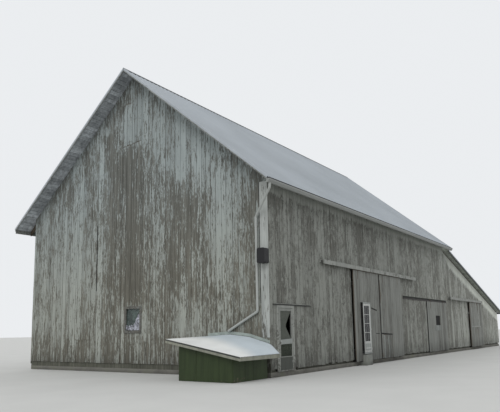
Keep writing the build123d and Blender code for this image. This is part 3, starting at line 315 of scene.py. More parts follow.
def peeling(paint, wood, bare=0.0, chips=(14.0, 2.4), softness=0.05, fields=(), damp=0.35, patchy=0.3,
            sheltered_and_lit=0.0, short=1.0, by_board=0.06, cast=((1, 1, 1), (1, 1, 1)), stains=(0.72, 1.1),
            paler=(0.0, 1.0, 1.0)):
    """Boards with old paint that has come off in upright flakes.

    bare raises how much paint has gone, chips says how fine its flakes are across and along the boards, and
    softness how gradual their edges. fields are places along the gable with more or less paint left. damp
    darkens the foot, patchy wears large areas, sheltered keeps paint under the eave and paints it lighter
    there as painted light against the eave's shade, short shortens the streaks, and by_board is how much the
    boards differ. cast tints the foot and the top, stains is the range of the dirt, and paler lightens the
    boards from one distance along the wall to another. The boards are also darker toward their edges, a
    painted shade where they meet.
    """
    f = Finish(roughness=0.8, specular=0.2)
    tone, across = f.attribute("tone"), f.attribute("across")
    x, y, z = f.parts()
    wood_tint, grain = bare_wood(f, wood, tone, short)
    fine, tall = chips
    flakes = f.noise(f.stretched(fine, tall, tone), detail=5.0, rough=0.62, twist=0.2)
    specks = f.noise(f.stretched(fine * 2.9, tall * 4.2, tone), detail=3.0, rough=0.6)
    weather = f.noise(f.stretched(0.55, 0.4), detail=4.0, rough=0.6)
    clouds = f.noise(f.stretched(1.9, 0.95), detail=3.0, rough=0.55)
    streaks = f.noise(f.stretched(fine * 1.7, 0.3 * short, tone), detail=3.0, rough=0.6)
    low_down = f.step(z, 3.2, 0.7)
    left = flakes * 0.62 + specks * 0.38 + (tone - 0.5) * by_board * (1.0 + low_down * 0.9)
    left = left + (streaks - 0.5) * (low_down * 0.3 + 0.16)
    left = left + (weather * 0.6 + clouds * 0.7 - 0.65) * patchy
    beyond = f.maths("MAXIMUM", x - (CORNER.x + LENGTH), 0.0)
    under_eave = z + beyond * LOW_SLOPE + f.step(beyond, 0.0, 1.5, 0.0, 0.5) + (flakes - 0.5) * 0.6
    shelter = f.step(beyond, 0.0, 9.0, 1.0, 1.9) * sheltered_and_lit
    kept_and_lit = f.step(under_eave, FRONT_TOP - 0.5, FRONT_TOP - 0.25) * shelter
    left = left + kept_and_lit
    for middle, reach, low, high, amount in fields:
        aside = y - (CORNER.y + middle)
        near = 1.0 - f.step(aside * aside, 0.0, reach * reach)
        left = left + near * f.step(z, low - 0.5, low + 0.5) * f.step(z, high + 0.5, high - 0.5) * amount
    mask = f.step(left, 0.5 + bare - softness, 0.5 + bare + softness)
    dirt = f.noise(f.stretched(5.0, 0.8 * short, tone), detail=5.0, rough=0.6)
    grime = f.noise(f.stretched(30.0, 1.8 * short, tone), detail=3.0)
    stain = f.step(dirt * 0.5 + grime * 0.3 + tone * 0.2, 0.26, 0.7, *stains)
    tint = f.blend(mask, wood_tint, f.shade(paint, stain))
    tint = f.blend(1.0, tint, f.blend(f.step(z, 2.0, 8.0), *cast), "MULTIPLY")
    start, end, lighter = paler
    # Lighter where paint is kept under the eave: painted light against the eave's shade
    tint = f.shade(tint, f.step(x, CORNER.x + start, CORNER.x + end, 1.0, lighter) * (kept_and_lit + 1.0))
    wet = f.step(z + (grime - 0.5) * 0.5, 0.15, 0.95, 1.0 - damp, 1.0)
    # Darker toward each board's edges: painted shade where the boards meet
    edge = f.step(across * across, 0.7, 1.0, 1.0, 0.55)
    f.relief(mask * 0.5 + grain * 0.5, 0.004, 0.5)
    return f.finish(f.shade(tint, wet * edge), 0.86 - mask * 0.14)


def old_timber(wood, seams=0.0, by_board=0.0):
    """Rough timber, with dark lines between boards where seams gives their width."""
    f = Finish(roughness=0.85, specular=0.15)
    tint, grain = bare_wood(f, wood)
    knots = f.noise(f.place(), scale=2.1, detail=3.0)
    amount = f.step(knots, 0.3, 0.7, 0.8, 1.12)
    if by_board:
        amount = amount * (1.0 + (f.attribute("tone") - 0.5) * by_board)
    if seams:
        x, y = f.parts()[:2]
        amount = amount * f.step(f.maths("FLOORED_MODULO", x + y, seams), 0.0, 0.012, 0.25, 1.0)
    f.relief(grain, 0.004, 0.5)
    return f.finish(f.shade(tint, amount))


def old_paint(paint, wood, cover=0.14, scale=6.0, damp_to=0.0, upright=False):
    """Trim with paint that has worn through in spots and run with dirt; more cover leaves more of it."""
    rough = 0.6
    f = Finish(roughness=rough)
    tint, grain = bare_wood(f, wood)
    spread = f.stretched(14.0, 2.2) if upright else f.stretched(scale * 2.5, scale * 2.5)
    chips = f.noise(spread, detail=5.0, rough=0.62)
    weather = f.noise(f.place(), scale=0.9, detail=3.0)
    left = chips + (weather - 0.5) * 0.35
    if damp_to:
        left = left - f.step(f.parts()[2], damp_to, damp_to * 0.25) * 0.16
    mask = f.step(left, 0.5 - cover - 0.05, 0.5 - cover + 0.05)
    dirt = f.noise(f.stretched(7.0, 0.8), detail=5.0, rough=0.6)
    shaded = f.shade(paint, f.step(dirt, 0.28, 0.66, 0.72, 1.05))
    f.relief(mask * 0.6 + grain * 0.25, 0.002, 0.5)
    return f.finish(f.blend(mask, tint, shaded), 0.85 - mask * (0.85 - rough))


def sheet_metal(tint, streaks, rough=0.5, metallic=0.25, rust=None, paler=1.0):
    """Dull sheet metal with faint streaks, rusty in spots or paler toward the far end where asked; the change
    toward the far end is painted light standing in for the roof's sheen.
    """
    f = Finish(roughness=rough, metallic=metallic, specular=0.4)
    cloud = f.noise(f.place(), scale=0.33, detail=4.0)
    streak = f.noise(f.stretched(streaks, streaks), detail=5.0, rough=0.6)
    spots = f.noise(f.place(), scale=4.5, detail=8.0, rough=0.7)
    shade = f.step(cloud * 0.4 + streak * 0.45 + spots * 0.15, 0.3, 0.7, 0.86, 1.05)
    if paler != 1.0:
        shade = shade * f.step(f.parts()[0], CORNER.x, CORNER.x + LENGTH, 1.0, paler)
    shaded = f.shade(tint, shade)
    if rust:
        shaded = f.blend(f.step(spots + (cloud - 0.5) * 0.5, 0.66, 0.76, 0.0, 0.75), shaded, rust)
    f.relief(cloud * 0.6 + spots * 0.1, 0.006, 0.3)
    return f.finish(shaded, f.step(spots, 0.3, 0.7, rough - 0.08, rough + 0.12))


def sunlit_and_shaded_sheet(shade_tint, sun_tint):
    """Pale sheet, whiter toward its low front edge as painted sunlight and bluer toward the gable as the
    barn's painted shadow.
    """
    f = Finish(roughness=0.4, specular=0.4)
    x, y = f.parts()[:2]
    cloud = f.noise(f.place(), scale=1.4, detail=4.0)
    # Share of the painted sunlight: it rises toward the low front edge past a slanting line, the painted edge
    # of the barn's shadow
    share = f.step(x - (y - CORNER.y) * 0.3 + (cloud - 0.5) * 0.3, CORNER.x - 0.95, CORNER.x - 1.75)
    tint = f.shade(f.blend(share, shade_tint, sun_tint), f.step(cloud, 0.3, 0.7, 0.94, 1.04))
    f.relief(cloud, 0.003, 0.3)
    return f.finish(tint, f.step(cloud, 0.3, 0.7, 0.34, 0.5))


def crumpled_plastic(tint):
    """Old plastic with folds that catch the light; their light and shade are also painted into its colour."""
    f = Finish(roughness=0.45, specular=0.5)
    creases_and_shade = f.noise(f.place(), scale=9.0, detail=3.0, rough=0.6, twist=1.2)
    f.relief(creases_and_shade, 0.02, 0.8)
    # Colour lighter and darker with the folds: painted light and shade
    shaded = f.shade(tint, f.step(creases_and_shade, 0.36, 0.62, 0.3, 1.35))
    return f.finish(shaded, f.step(creases_and_shade, 0.3, 0.7, 0.35, 0.6))


def cast_concrete(tint, moss):
    """Rough concrete with damp, pits and moss."""
    f = Finish(roughness=0.9, specular=0.2)
    cloud = f.noise(f.place(), scale=1.3, detail=6.0, rough=0.62)
    pits = f.noise(f.place(), scale=34.0, detail=4.0, rough=0.7)
    shade = f.step(cloud * 0.7 + pits * 0.3, 0.3, 0.68, 0.55, 1.15)
    damp = f.step(f.parts()[2], 0.0, 0.2, 0.62, 1.0)
    f.relief(cloud * 0.5 + pits * 0.5, 0.006, 0.7)
    return f.finish(f.blend(f.step(cloud, 0.5, 0.7, 0.0, 0.5), f.shade(tint, shade * damp), moss))


def window_pane(tint, clear, shine=0.5):
    """Dusty glass."""
    f = Finish(roughness=0.08, specular=shine)
    dust = f.noise(f.place(), scale=5.0, detail=5.0)
    f.join(f.step(dust, 0.3, 0.75, 1.0 - clear, 1.0 - clear * 0.6), f.surface["Alpha"])
    return f.finish(f.shade(tint, f.step(dust, 0.3, 0.7, 0.7, 1.3)), f.step(dust, 0.3, 0.8, 0.06, 0.35))


def bare_floor(tint):
    """Smooth floor with a trace of grit."""
    f = Finish(roughness=0.9, specular=0.1)
    grit = f.noise(f.place(), scale=0.6, detail=3.0)
    return f.finish(f.shade(tint, f.step(grit, 0.3, 0.7, 0.98, 1.02)))


def plain(tint, rough, metallic=0.0, spots=14.0):
    """A moulded or painted piece with faint wear."""
    f = Finish(roughness=rough, metallic=metallic)
    wear = f.noise(f.place(), scale=spots, detail=5.0, rough=0.65)
    f.relief(wear, 0.0015, 0.3)
    shaded = f.shade(tint, f.step(wear, 0.3, 0.7, 0.78, 1.15))
    return f.finish(shaded, f.step(wear, 0.3, 0.7, rough - 0.1, rough + 0.12))


# Places across the near gable with more or less paint: middle, reach to each side, low, high and amount
GABLE_FIELDS = (
    (6.25, 1.4, 2.6, 8.5, -0.105), (3.5, 1.4, 2.4, 6.2, -0.065), (10.6, 3.0, 1.2, 6.5, 0.045),
    (1.6, 1.4, 3.0, 7.0, 0.04), (0.32, 0.24, 2.4, 5.4, 0.13), (0.75, 0.3, 3.6, 5.7, -0.05),
    (3.2, 1.6, 7.0, 9.3, 0.08), (6.2, 0.75, 9.0, 10.3, 0.1), (6.0, 9.0, -1.0, 1.4, -0.03))

FINISHES = {
    "gable_boards": lambda c: peeling(
        c.gable_paint, c.gable_wood, fields=GABLE_FIELDS, cast=((1.0, 0.985, 0.93), (0.95, 1.0, 1.04))),
    "wall_boards": lambda c: peeling(
        c.wall_paint, c.wall_wood, chips=(9.5, 4.6), softness=0.085, damp=0.3, patchy=0.6, sheltered_and_lit=0.4,
        short=4.0, by_board=0.1, cast=((1.0, 1.0, 0.985), (0.96, 0.97, 0.97)), stains=(0.82, 1.1),
        paler=(7.0, 28.0, 1.5)),
    "door_boards": lambda c: peeling(
        c.door_paint, c.wall_wood, -0.06, chips=(9.0, 1.1), softness=0.15, short=0.7, by_board=0.12,
        stains=(0.84, 1.1), paler=(9.0, 27.0, 1.16)),
    "patch_boards": lambda c: peeling(
        tinted(c.gable_paint, 0.8), c.wall_wood, -0.02, softness=0.1, by_board=0.2),
    "inner_boards": lambda c: old_timber(c.frame_wood, seams=0.235),
    "frame_timber": lambda c: old_timber(c.frame_wood),
    "deck_boards": lambda c: old_timber(c.deck_wood, by_board=0.6),
    "leanto_deck": lambda c: old_timber(c.low_deck_wood, by_board=0.3),
    "sill_timber": lambda c: old_timber(c.sill_wood),
    # The roof is a little darker toward its far end: painted shade that tempers the sheen there
    "roof_metal": lambda c: sheet_metal(c.roof_metal, 0.25, paler=0.97),
    "ridge_metal": lambda c: sheet_metal(c.ridge_metal, 0.8, rough=0.6),
    "roof_edge": lambda c: sheet_metal(tinted(c.roof_metal, 1.1), 2.0),
    "gutter_metal": lambda c: sheet_metal(tinted(c.trim_paint, 0.62), 3.0, metallic=0.0, rust=c.rust),
    "spout_metal": lambda c: sheet_metal(tinted(c.trim_paint, 0.95), 3.0, metallic=0.0),
    "annex_metal": lambda c: sunlit_and_shaded_sheet(c.annex_metal, c.sunlit_metal),
    "roof_trim": lambda c: old_paint(tinted(c.trim_paint, 0.62), c.wall_wood, cover=0.05),
    "white_trim": lambda c: old_paint(c.trim_paint, c.gable_wood, cover=0.16, damp_to=2.6, upright=True),
    "track_boards": lambda c: old_paint(tinted(c.wall_paint, 1.15), c.wall_wood, cover=0.12, scale=2.4),
    "casing_paint": lambda c: old_paint(tinted(c.wall_paint, 1.25), c.wall_wood, cover=0.1, damp_to=0.8),
    "storm_paint": lambda c: old_paint(tinted(c.wall_paint, 1.05), c.wall_wood, cover=0.12, damp_to=0.6),
    "kick_panel": lambda c: old_paint(c.kick_panel, c.wall_wood, cover=0.22, damp_to=0.3),
    "door_white": lambda c: old_paint(c.door_white, c.wall_wood, cover=0.2, damp_to=0.9),
    "pale_rail": lambda c: old_paint(tinted(c.gable_paint, 0.9), c.gable_wood, cover=0.16, scale=3.0),
    "window_wood": lambda c: old_paint(tinted(c.gable_paint, 0.6), tinted(c.gable_wood, 0.85), cover=-0.08),
    "annex_boards": lambda c: old_paint(c.annex_paint, c.frame_wood, cover=0.3, damp_to=0.25),
    "annex_trim": lambda c: old_paint(c.annex_trim, c.wall_wood, cover=0.16),
    "concrete": lambda c: cast_concrete(c.concrete, c.moss),
    "step_concrete": lambda c: cast_concrete(c.step_concrete, c.moss),
    "crumpled": lambda c: crumpled_plastic(c.plastic),
    "dark_glass": lambda c: window_pane(c.dark_glass, 0.06, shine=0.12),
    "green_glass": lambda c: window_pane(c.green_glass, 0.12, shine=0.12),
    "blue_glass": lambda c: window_pane(c.blue_glass, 0.45),
    # Black: painted shade in gaps, openings and shaded edges, and the black of the ridge closures and a door
    # crack
    "black_and_painted_shade": lambda c: plain(c.black_and_shade, 0.9),
    "seam_wood": lambda c: plain(c.seam_wood, 0.9, spots=2.0),
    "dark_trim_and_shade": lambda c: plain(c.dark_trim_and_shade, 0.8, spots=0.4),
    "flashing": lambda c: plain(c.flashing, 0.5, spots=3.0),
    "meter_metal": lambda c: plain(c.meter_metal, 0.5),
    "iron": lambda c: plain(c.iron, 0.6, metallic=0.6),
    "screen": lambda c: plain(c.screen, 0.8),
    "floor": lambda c: bare_floor(c.floor),
}
finishes = {}


def finish(name):
    """A named finish, made on first use."""
    if name not in finishes:
        finishes[name] = FINISHES[name](colours())
        finishes[name].name = name
    return finishes[name]


# Meshes

# Eased edge of squared pieces, and of thin ones
CHAMFER = 0.003
THIN = 0.001


def new_mesh():
    """A mesh with a value for each board and a value across it."""
    mesh = bmesh.new()
    mesh.faces.layers.float.new("tone")
    mesh.verts.layers.float.new("across")
    return mesh


def new_piece(name, mesh, material, body="barn", slot=None, replaces=(), smooth=False):
    """An object from a mesh, riding on its body."""
    bmesh.ops.recalc_face_normals(mesh, faces=mesh.faces)
    data = bpy.data.meshes.new(name)
    mesh.to_mesh(data)
    mesh.free()
    data.materials.append(finish(material))
    if smooth:
        data.shade_smooth()
    piece = bpy.data.objects.new(name, data)
    bpy.context.scene.collection.objects.link(piece)
    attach(piece, body)
    if replaces:
        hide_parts(*replaces)
    return piece


def skin(mesh, rings, tone=0.5, across=None):
    """A closed form through rings of points, with a face at each end."""
    tones, sides = mesh.faces.layers.float["tone"], mesh.verts.layers.float["across"]
    rows = []
    for ring in rings:
        row = [mesh.verts.new(point) for point in ring]
        for vert, side in zip(row, across or ()):
            vert[sides] = side
        rows.append(row)
    made = [mesh.faces.new(rows[0][::-1]), mesh.faces.new(rows[-1])]
    for first, second in zip(rows, rows[1:]):
        for i in range(len(first)):
            made.append(mesh.faces.new((first[i - 1], first[i], second[i], second[i - 1])))
    for face in made:
        face[tones] = tone


def slab(mesh, low, high, chamfer):
    """A squared form with eased edges."""
    (x0, y0, z0), (x1, y1, z1) = low, high
    c = min(chamfer, (x1 - x0) / 3, (y1 - y0) / 3, (z1 - z0) / 3)
    rings = []
    for z, inset in ((z0, c), (z0 + c, 0.0), (z1 - c, 0.0), (z1, c)):
        a0, a1, b0, b1 = x0 + inset, x1 - inset, y0 + inset, y1 - inset
        rings.append([at(a0 + c, b0, z), at(a1 - c, b0, z), at(a1, b0 + c, z), at(a1, b1 - c, z),
                      at(a1 - c, b1, z), at(a0 + c, b1, z), at(a0, b1 - c, z), at(a0, b0 + c, z)])
    skin(mesh, rings)


def squared_piece(name, boxes, material, body="barn", slot=None, chamfer=CHAMFER):
    """One piece of squared parts, each given by its low and high corner."""
    mesh = new_mesh()
    for low, high in boxes:
        slab(mesh, low, high, chamfer)
    return new_piece(name, mesh, material, body, slot)


def ringed_piece(name, runs, material, body="barn", slot=None, **more):
    """One piece of closed forms, each given by its rings."""
    mesh = new_mesh()
    for rings in runs:
        skin(mesh, rings)
    return new_piece(name, mesh, material, body, slot, **more)


# Walls of upright boards

# A place on each wall, from the distance along it, the distance out of its face, and the height
WALLS = {
    "front": lambda u, out, z: at(u, -out, z),
    "rear": lambda u, out, z: at(u, WIDTH + out, z),
    "gable": lambda u, out, z: at(-out, u, z),
    "far": lambda u, out, z: at(LENGTH + out, u, z),
    "end": lambda u, out, z: at(TOTAL + out, u, z),
}

# Boards: least width and length, eased edge, place of the back, length between bends, and most bends
LEAST_WIDTH = 0.015
LEAST_LENGTH = 0.02
BOARD_EASE = 0.004
BOARD_BACK = -0.012
BEND_LENGTH = 0.9
MOST_BENDS = 7

# How far boards stray: hollow or round, tipped, bowed out, aside, and proud of each other
CUP = (-0.0012, 0.0022)
LEAN = (-0.0016, 0.0016)
BOW = 0.0012
WANDER = 0.0011
PROUD = (-0.003, 0.003)
GAP_SHARES = (0.4, 0.7, 1.0, 1.0, 1.6)
SEAM_GAP = 0.014

# A last board narrower than this share of the narrowest one joins the board before it
LEAST_LAST = 0.6


def board(mesh, place, left, right, foot, tops, face, dice, tone):
    """One upright board with eased edges, a little bowed and cupped."""
    if right - left < LEAST_WIDTH or min(tops) - foot < LEAST_LENGTH:
        return
    ease = min(BOARD_EASE, (right - left) / 4)
    middle = (left + right) / 2
    count = max(1, min(MOST_BENDS, int((max(tops) - foot) / BEND_LENGTH)))
    cup = dice.uniform(*CUP)
    lean = dice.uniform(*LEAN)
    rings = []
    for i in range(count + 1):
        wander = dice.gauss(0, WANDER) if 0 < i < count else 0.0
        out = face + dice.gauss(0, BOW)
        outline = ((left, BOARD_BACK), (left, out - ease), (left + ease, out - lean), (middle, out + cup),
                   (right - ease, out + lean), (right, out - ease), (right, BOARD_BACK))
        ring = []
        for u, depth in outline:
            top = tops[0] + (tops[1] - tops[0]) * (u - left) / (right - left)
            ring.append(place(u + wander, depth, foot + (top - foot) * (i / count)))
        rings.append(ring)
    skin(mesh, rings, tone, across=(-1, -1, -0.9, 0, 0.9, 1, 1))


def board_wall(name, place, left, right, foot, top, material, seed, slot=None, body="barn", holes=(),
               seams=(), cuts=(), ragged=0.035, widths=None, face=None):
    """A wall of boards, cut round its holes and at its edges.

    A hole or a seam is given by its left, right, low and high. Boards end at the holes' sides and the cuts,
    and a board that crosses a seam is two boards.
    """
    s = sizes()
    dice = random.Random(seed)
    narrow, wide = widths or (s.board_narrow, s.board_wide)
    face = s.board_proud if face is None else face
    sides = [u for edges in (*holes, *seams) for u in edges[:2]]
    stops = sorted({left, right, *[u for u in (*cuts, *sides) if left < u < right]})
    mesh = new_mesh()
    for start, end in zip(stops, stops[1:]):
        u = start
        while u < end - 0.01:
            next_u = u + dice.uniform(narrow, wide)
            if end - next_u < narrow * LEAST_LAST:
                next_u = end
            gap = s.board_gap * dice.choice(GAP_SHARES)
            a, c = u + gap / 2, next_u - gap / 2
            middle = (u + next_u) / 2
            tone = dice.random()
            level = foot - (dice.uniform(0, ragged) if ragged else 0)
            runs = []
            for hole_low, hole_high in sorted(hole[2:] for hole in holes if hole[0] <= middle <= hole[1]):
                runs.append((level, (hole_low, hole_low)))
                level = hole_high
            runs.append((level, (top(a), top(c))))
            for low, tops in runs:
                out = face + dice.uniform(*PROUD)
                for u0, u1, z0, z1 in seams:
                    if u0 <= middle <= u1 and low < z0 < min(tops):
                        cut = [z0 + (z1 - z0) * (side - u0) / (u1 - u0) for side in (a, c)]
                        board(mesh, place, a, c, low, cut, out, dice, tone)
                        low, tone = max(cut) + SEAM_GAP, dice.random()
                board(mesh, place, a, c, low, tops, out, dice, tone)
            u = next_u
    return new_piece(name, mesh, material, body, slot or material)


# The near gable's open slit by left, right, low and high, and its cross seams with a height at each end
GABLE_SLIT = (8.08, 8.12, 3.1, 5.72)
GABLE_SEAMS = ((8.44, 9.35, 1.2, 1.2), (5.7, 6.72, 8.78, 8.68), (6.2, 6.75, 10.44, 10.4))
MAIN_WALL_TOP = FRONT_TOP - 0.015
HIDDEN_FOOT = 0.26

# Boards stop short of the roof boards and the rafters, and the far gable's start above the lean-to's roof
UNDER_ROOF_BOARDS = 0.004
UNDER_RAFTERS = 0.012
FAR_GABLE_LIFT = 0.19


def gable_top(y):
    """Height of the gable boards, just under the roof boards."""
    return EAVE + SLOPE * min(y, WIDTH - y) - ROOF_DEPTH / math.cos(PITCH) - UNDER_ROOF_BOARDS


def under_leanto(x):
    """Height under the lean-to's rafters."""
    return LOW_EAVE - LOW_SLOPE * (x - LENGTH) - RAFTER_DEPTH / math.cos(LOW_PITCH)


def low_wall_top(x):
    """Height of the wall boards under the lean-to's rafters."""
    return under_leanto(x) - UNDER_RAFTERS


def front_top(x):
    return MAIN_WALL_TOP if x < LENGTH + 0.02 else low_wall_top(x)


class BARN_OT_walls(bpy.types.Operator):
    """Upright boards on all outer walls"""
    bl_idname = "barn.walls"
    bl_label = "Wall boards"

    def execute(self, context):
        window = (*span("window_frame", "y"), *span("window_frame", "z"))
        board_wall("near_gable_boards", WALLS["gable"], 0.0, WIDTH, span("near_gable_wall", "z")[0],
                   gable_top, "gable_boards", 11, holes=(window, GABLE_SLIT), seams=GABLE_SEAMS,
                   cuts=(WIDTH / 2, *span("loft_hatch", "y")), ragged=0.02)
        # A black sheet behind the open slit: painted shade of the dark inside
        left, right, low, high = GABLE_SLIT
        black_and_shade = ((-0.002, left - 0.03, low - 0.05), (-0.0005, right + 0.03, high + 0.05))
        squared_piece("gable_slit_shade", [black_and_shade], "black_and_painted_shade", slot="gable_boards")
        board_wall("far_gable_boards", WALLS["far"], 0.0, WIDTH, under_leanto(LENGTH) + FAR_GABLE_LIFT,
                   gable_top, "gable_boards", 12, cuts=(WIDTH / 2,), ragged=0.0)
        hidden = (("rear_boards", "rear", 0.0, LENGTH, lambda x: MAIN_WALL_TOP),
                  ("rear_leanto_boards", "rear", LENGTH, TOTAL, low_wall_top),
                  ("leanto_end_boards", "end", 0.0, WIDTH, lambda y: low_wall_top(TOTAL)))
        for seed, (name, side, start, end, top) in enumerate(hidden, 13):
            board_wall(name, WALLS[side], start, end, HIDDEN_FOOT, top, "wall_boards", seed)
        doorways = []
        for doors in ("storm_door", "main_doors", "middle_door", "far_door"):
            node = f"front_wall_over_{doors}"
            doorways.append((*span(node, "x"), -1.0, span(node, "z")[0]))
        front = (("front_boards", 0.0, LENGTH, 0.06), ("front_leanto_boards", LENGTH, TOTAL, 0.05))
        for seed, (name, start, end, ragged) in enumerate(front, 21):
            board_wall(name, WALLS["front"], start, end, FRONT_FOOT, front_top, "wall_boards", seed,
                       holes=doorways, ragged=ragged)
        return {"FINISHED"}


# Roofs: ribbed metal over boards

# Thickness of the metal, half the width of a rib's foot and top, and the small ribs' half width and height
METAL = 0.0016
RIB_FOOT = 0.027
RIB_TOP = 0.01
SMALL_RIB = 0.012
SMALL_RIB_HEIGHT = 0.003
SMALL_RIB_PLACES = (0.36, 0.64)
RIB_FROM_END = 0.04
SMALL_RIB_FROM_END = 0.03
SHEET_ROWS = 4
SHEET_INSET = 0.004
SHEET_TO_RIDGE = 0.012

# Roof boards: depth of top and bottom under the roof, usual length, gaps, and distance from its edges
DECK_TOP = 0.022
DECK_FOOT = 0.0535
DECK_RUN = 4.2
DECK_GAP = (0.006, 0.016)
DECK_INSET = 0.012
LOW_DECK_INSET = 0.008
DECK_TO_EAVE = 0.03
DECK_TO_RIDGE = 0.045

# How roof boards differ: shares of width and length, depth, ends, joints, and the least length left
DECK_WIDTHS = (0.86, 1.16)
DECK_LENGTHS = (0.75, 1.2)
DECK_UNEVEN = (-0.0015, 0.0015)
DECK_ENDS = (0, 0.012)
DECK_JOINT = 0.003
DECK_LEAST = 0.02
DECK_LAST = 1.0

# Edge metal: how far it stands out of the roof's side and over its top, and its thickness
EDGE_OUT = 0.004
EDGE_OVER = -0.003
EDGE_METAL = 0.0015

# How far the edge metal laps the main roof and the lean-to, how far it drops, and where the lean-to's starts
RAKE_FOLD = (0.055, 0.062)
LOW_FOLD = (0.05, 0.06)
UNDER_MAIN_ROOF = 0.53

# Closures under the ridge cap: distance inside the cap's edge, width, and depths of the bottom and top
CLOSURE_INSET = 0.008
CLOSURE_WIDTH = 0.03
CLOSURE_FOOT = 0.024
CLOSURE_TOP = -0.002


def rib_line(start, end, spacing, height):
    """Places and heights across ribbed sheet, from one edge to the other."""
    line = [(start, 0.0)]
    rib = start + spacing / 2
    while rib < end - RIB_FROM_END:
        line += [(rib - RIB_FOOT, 0.0), (rib - RIB_TOP, height)]
        line += [(rib + RIB_TOP, height), (rib + RIB_FOOT, 0.0)]
        for share in SMALL_RIB_PLACES:
            small = rib + spacing * share
            if small < end - SMALL_RIB_FROM_END:
                line += [(small - SMALL_RIB, 0.0), (small, SMALL_RIB_HEIGHT), (small + SMALL_RIB, 0.0)]
        rib += spacing
    line.append((end, 0.0))
    return line


def ribbed_sheet(name, place, across, along, node):
    """A sheet with ribs that run down the slope, in the place of a node."""
    s = sizes()
    line = rib_line(*across, s.rib_spacing, s.rib_height)
    rings = []
    for i in range(SHEET_ROWS + 1):
        v = along[0] + (along[1] - along[0]) * i / SHEET_ROWS
        top = [place(u, v, s.rib_height - h) for u, h in line]
        foot = [place(u, v, s.rib_height - h + METAL) for u, h in reversed(line)]
        rings.append(top + foot)
    return ringed_piece(name, [rings], "roof_metal", slot="roof_metal", replaces=(node,))


def deck(name, place, across, along, seed, material="deck_boards"):
    """Boards under a roof's metal, laid across the slope, with joints and gaps."""
    dice = random.Random(seed)
    mesh = new_mesh()
    v = along[0]
    while v < along[1] - DECK_LEAST:
        wide = min(sizes().deck_board * dice.uniform(*DECK_WIDTHS), along[1] - v)
        top = v + wide - dice.uniform(*DECK_GAP)
        u = across[0] + dice.uniform(*DECK_ENDS)
        while u < across[1] - DECK_LEAST:
            end = u + DECK_RUN * dice.uniform(*DECK_LENGTHS)
            if across[1] - end < DECK_LAST:
                end = across[1] - dice.uniform(*DECK_ENDS)
            foot = DECK_FOOT + dice.uniform(*DECK_UNEVEN)
            outline = ((v, DECK_TOP), (top, DECK_TOP), (top, foot), (v, foot))
            skin(mesh, [[place(side, *point) for point in outline] for side in (u, end)], dice.random())
            u = end + DECK_JOINT
        v += wide
    return new_piece(name, mesh, material, slot="frame_timber")


def edge_metal(place, edges, fold, stops):
    """Rings of folded metal along a roof's two sides, which laps its top and drops over its edge."""
    lap, drop = fold
    under = EDGE_OVER + EDGE_METAL
    runs = []
    for edge, inward in zip(edges, (1, -1)):
        out, end = edge - EDGE_OUT * inward, edge + lap * inward
        inner = out + EDGE_METAL * inward
        outline = ((out, EDGE_OVER), (end, EDGE_OVER), (end, under),
                   (inner, under), (inner, drop), (out, drop))
        runs.append([[place(side, along, depth) for side, depth in outline] for along in stops])
    return runs


def front_slope(x, along, depth):
    """A place on the front slope: along runs up from the wall line, and depth goes square into the roof."""
    y = along * math.cos(PITCH) + depth * math.sin(PITCH)
    return at(x, y, EAVE + along * math.sin(PITCH) - depth * math.cos(PITCH))


def rear_slope(x, along, depth):
    y = WIDTH - along * math.cos(PITCH) - depth * math.sin(PITCH)
    return at(x, y, EAVE + along * math.sin(PITCH) - depth * math.cos(PITCH))


def low_slope(y, along, depth):
    """A place on the lean-to roof: along runs down from the main barn."""
    x = LENGTH + along * math.cos(LOW_PITCH) - depth * math.sin(LOW_PITCH)
    return at(x, y, LOW_EAVE - along * math.sin(LOW_PITCH) - depth * math.cos(LOW_PITCH))


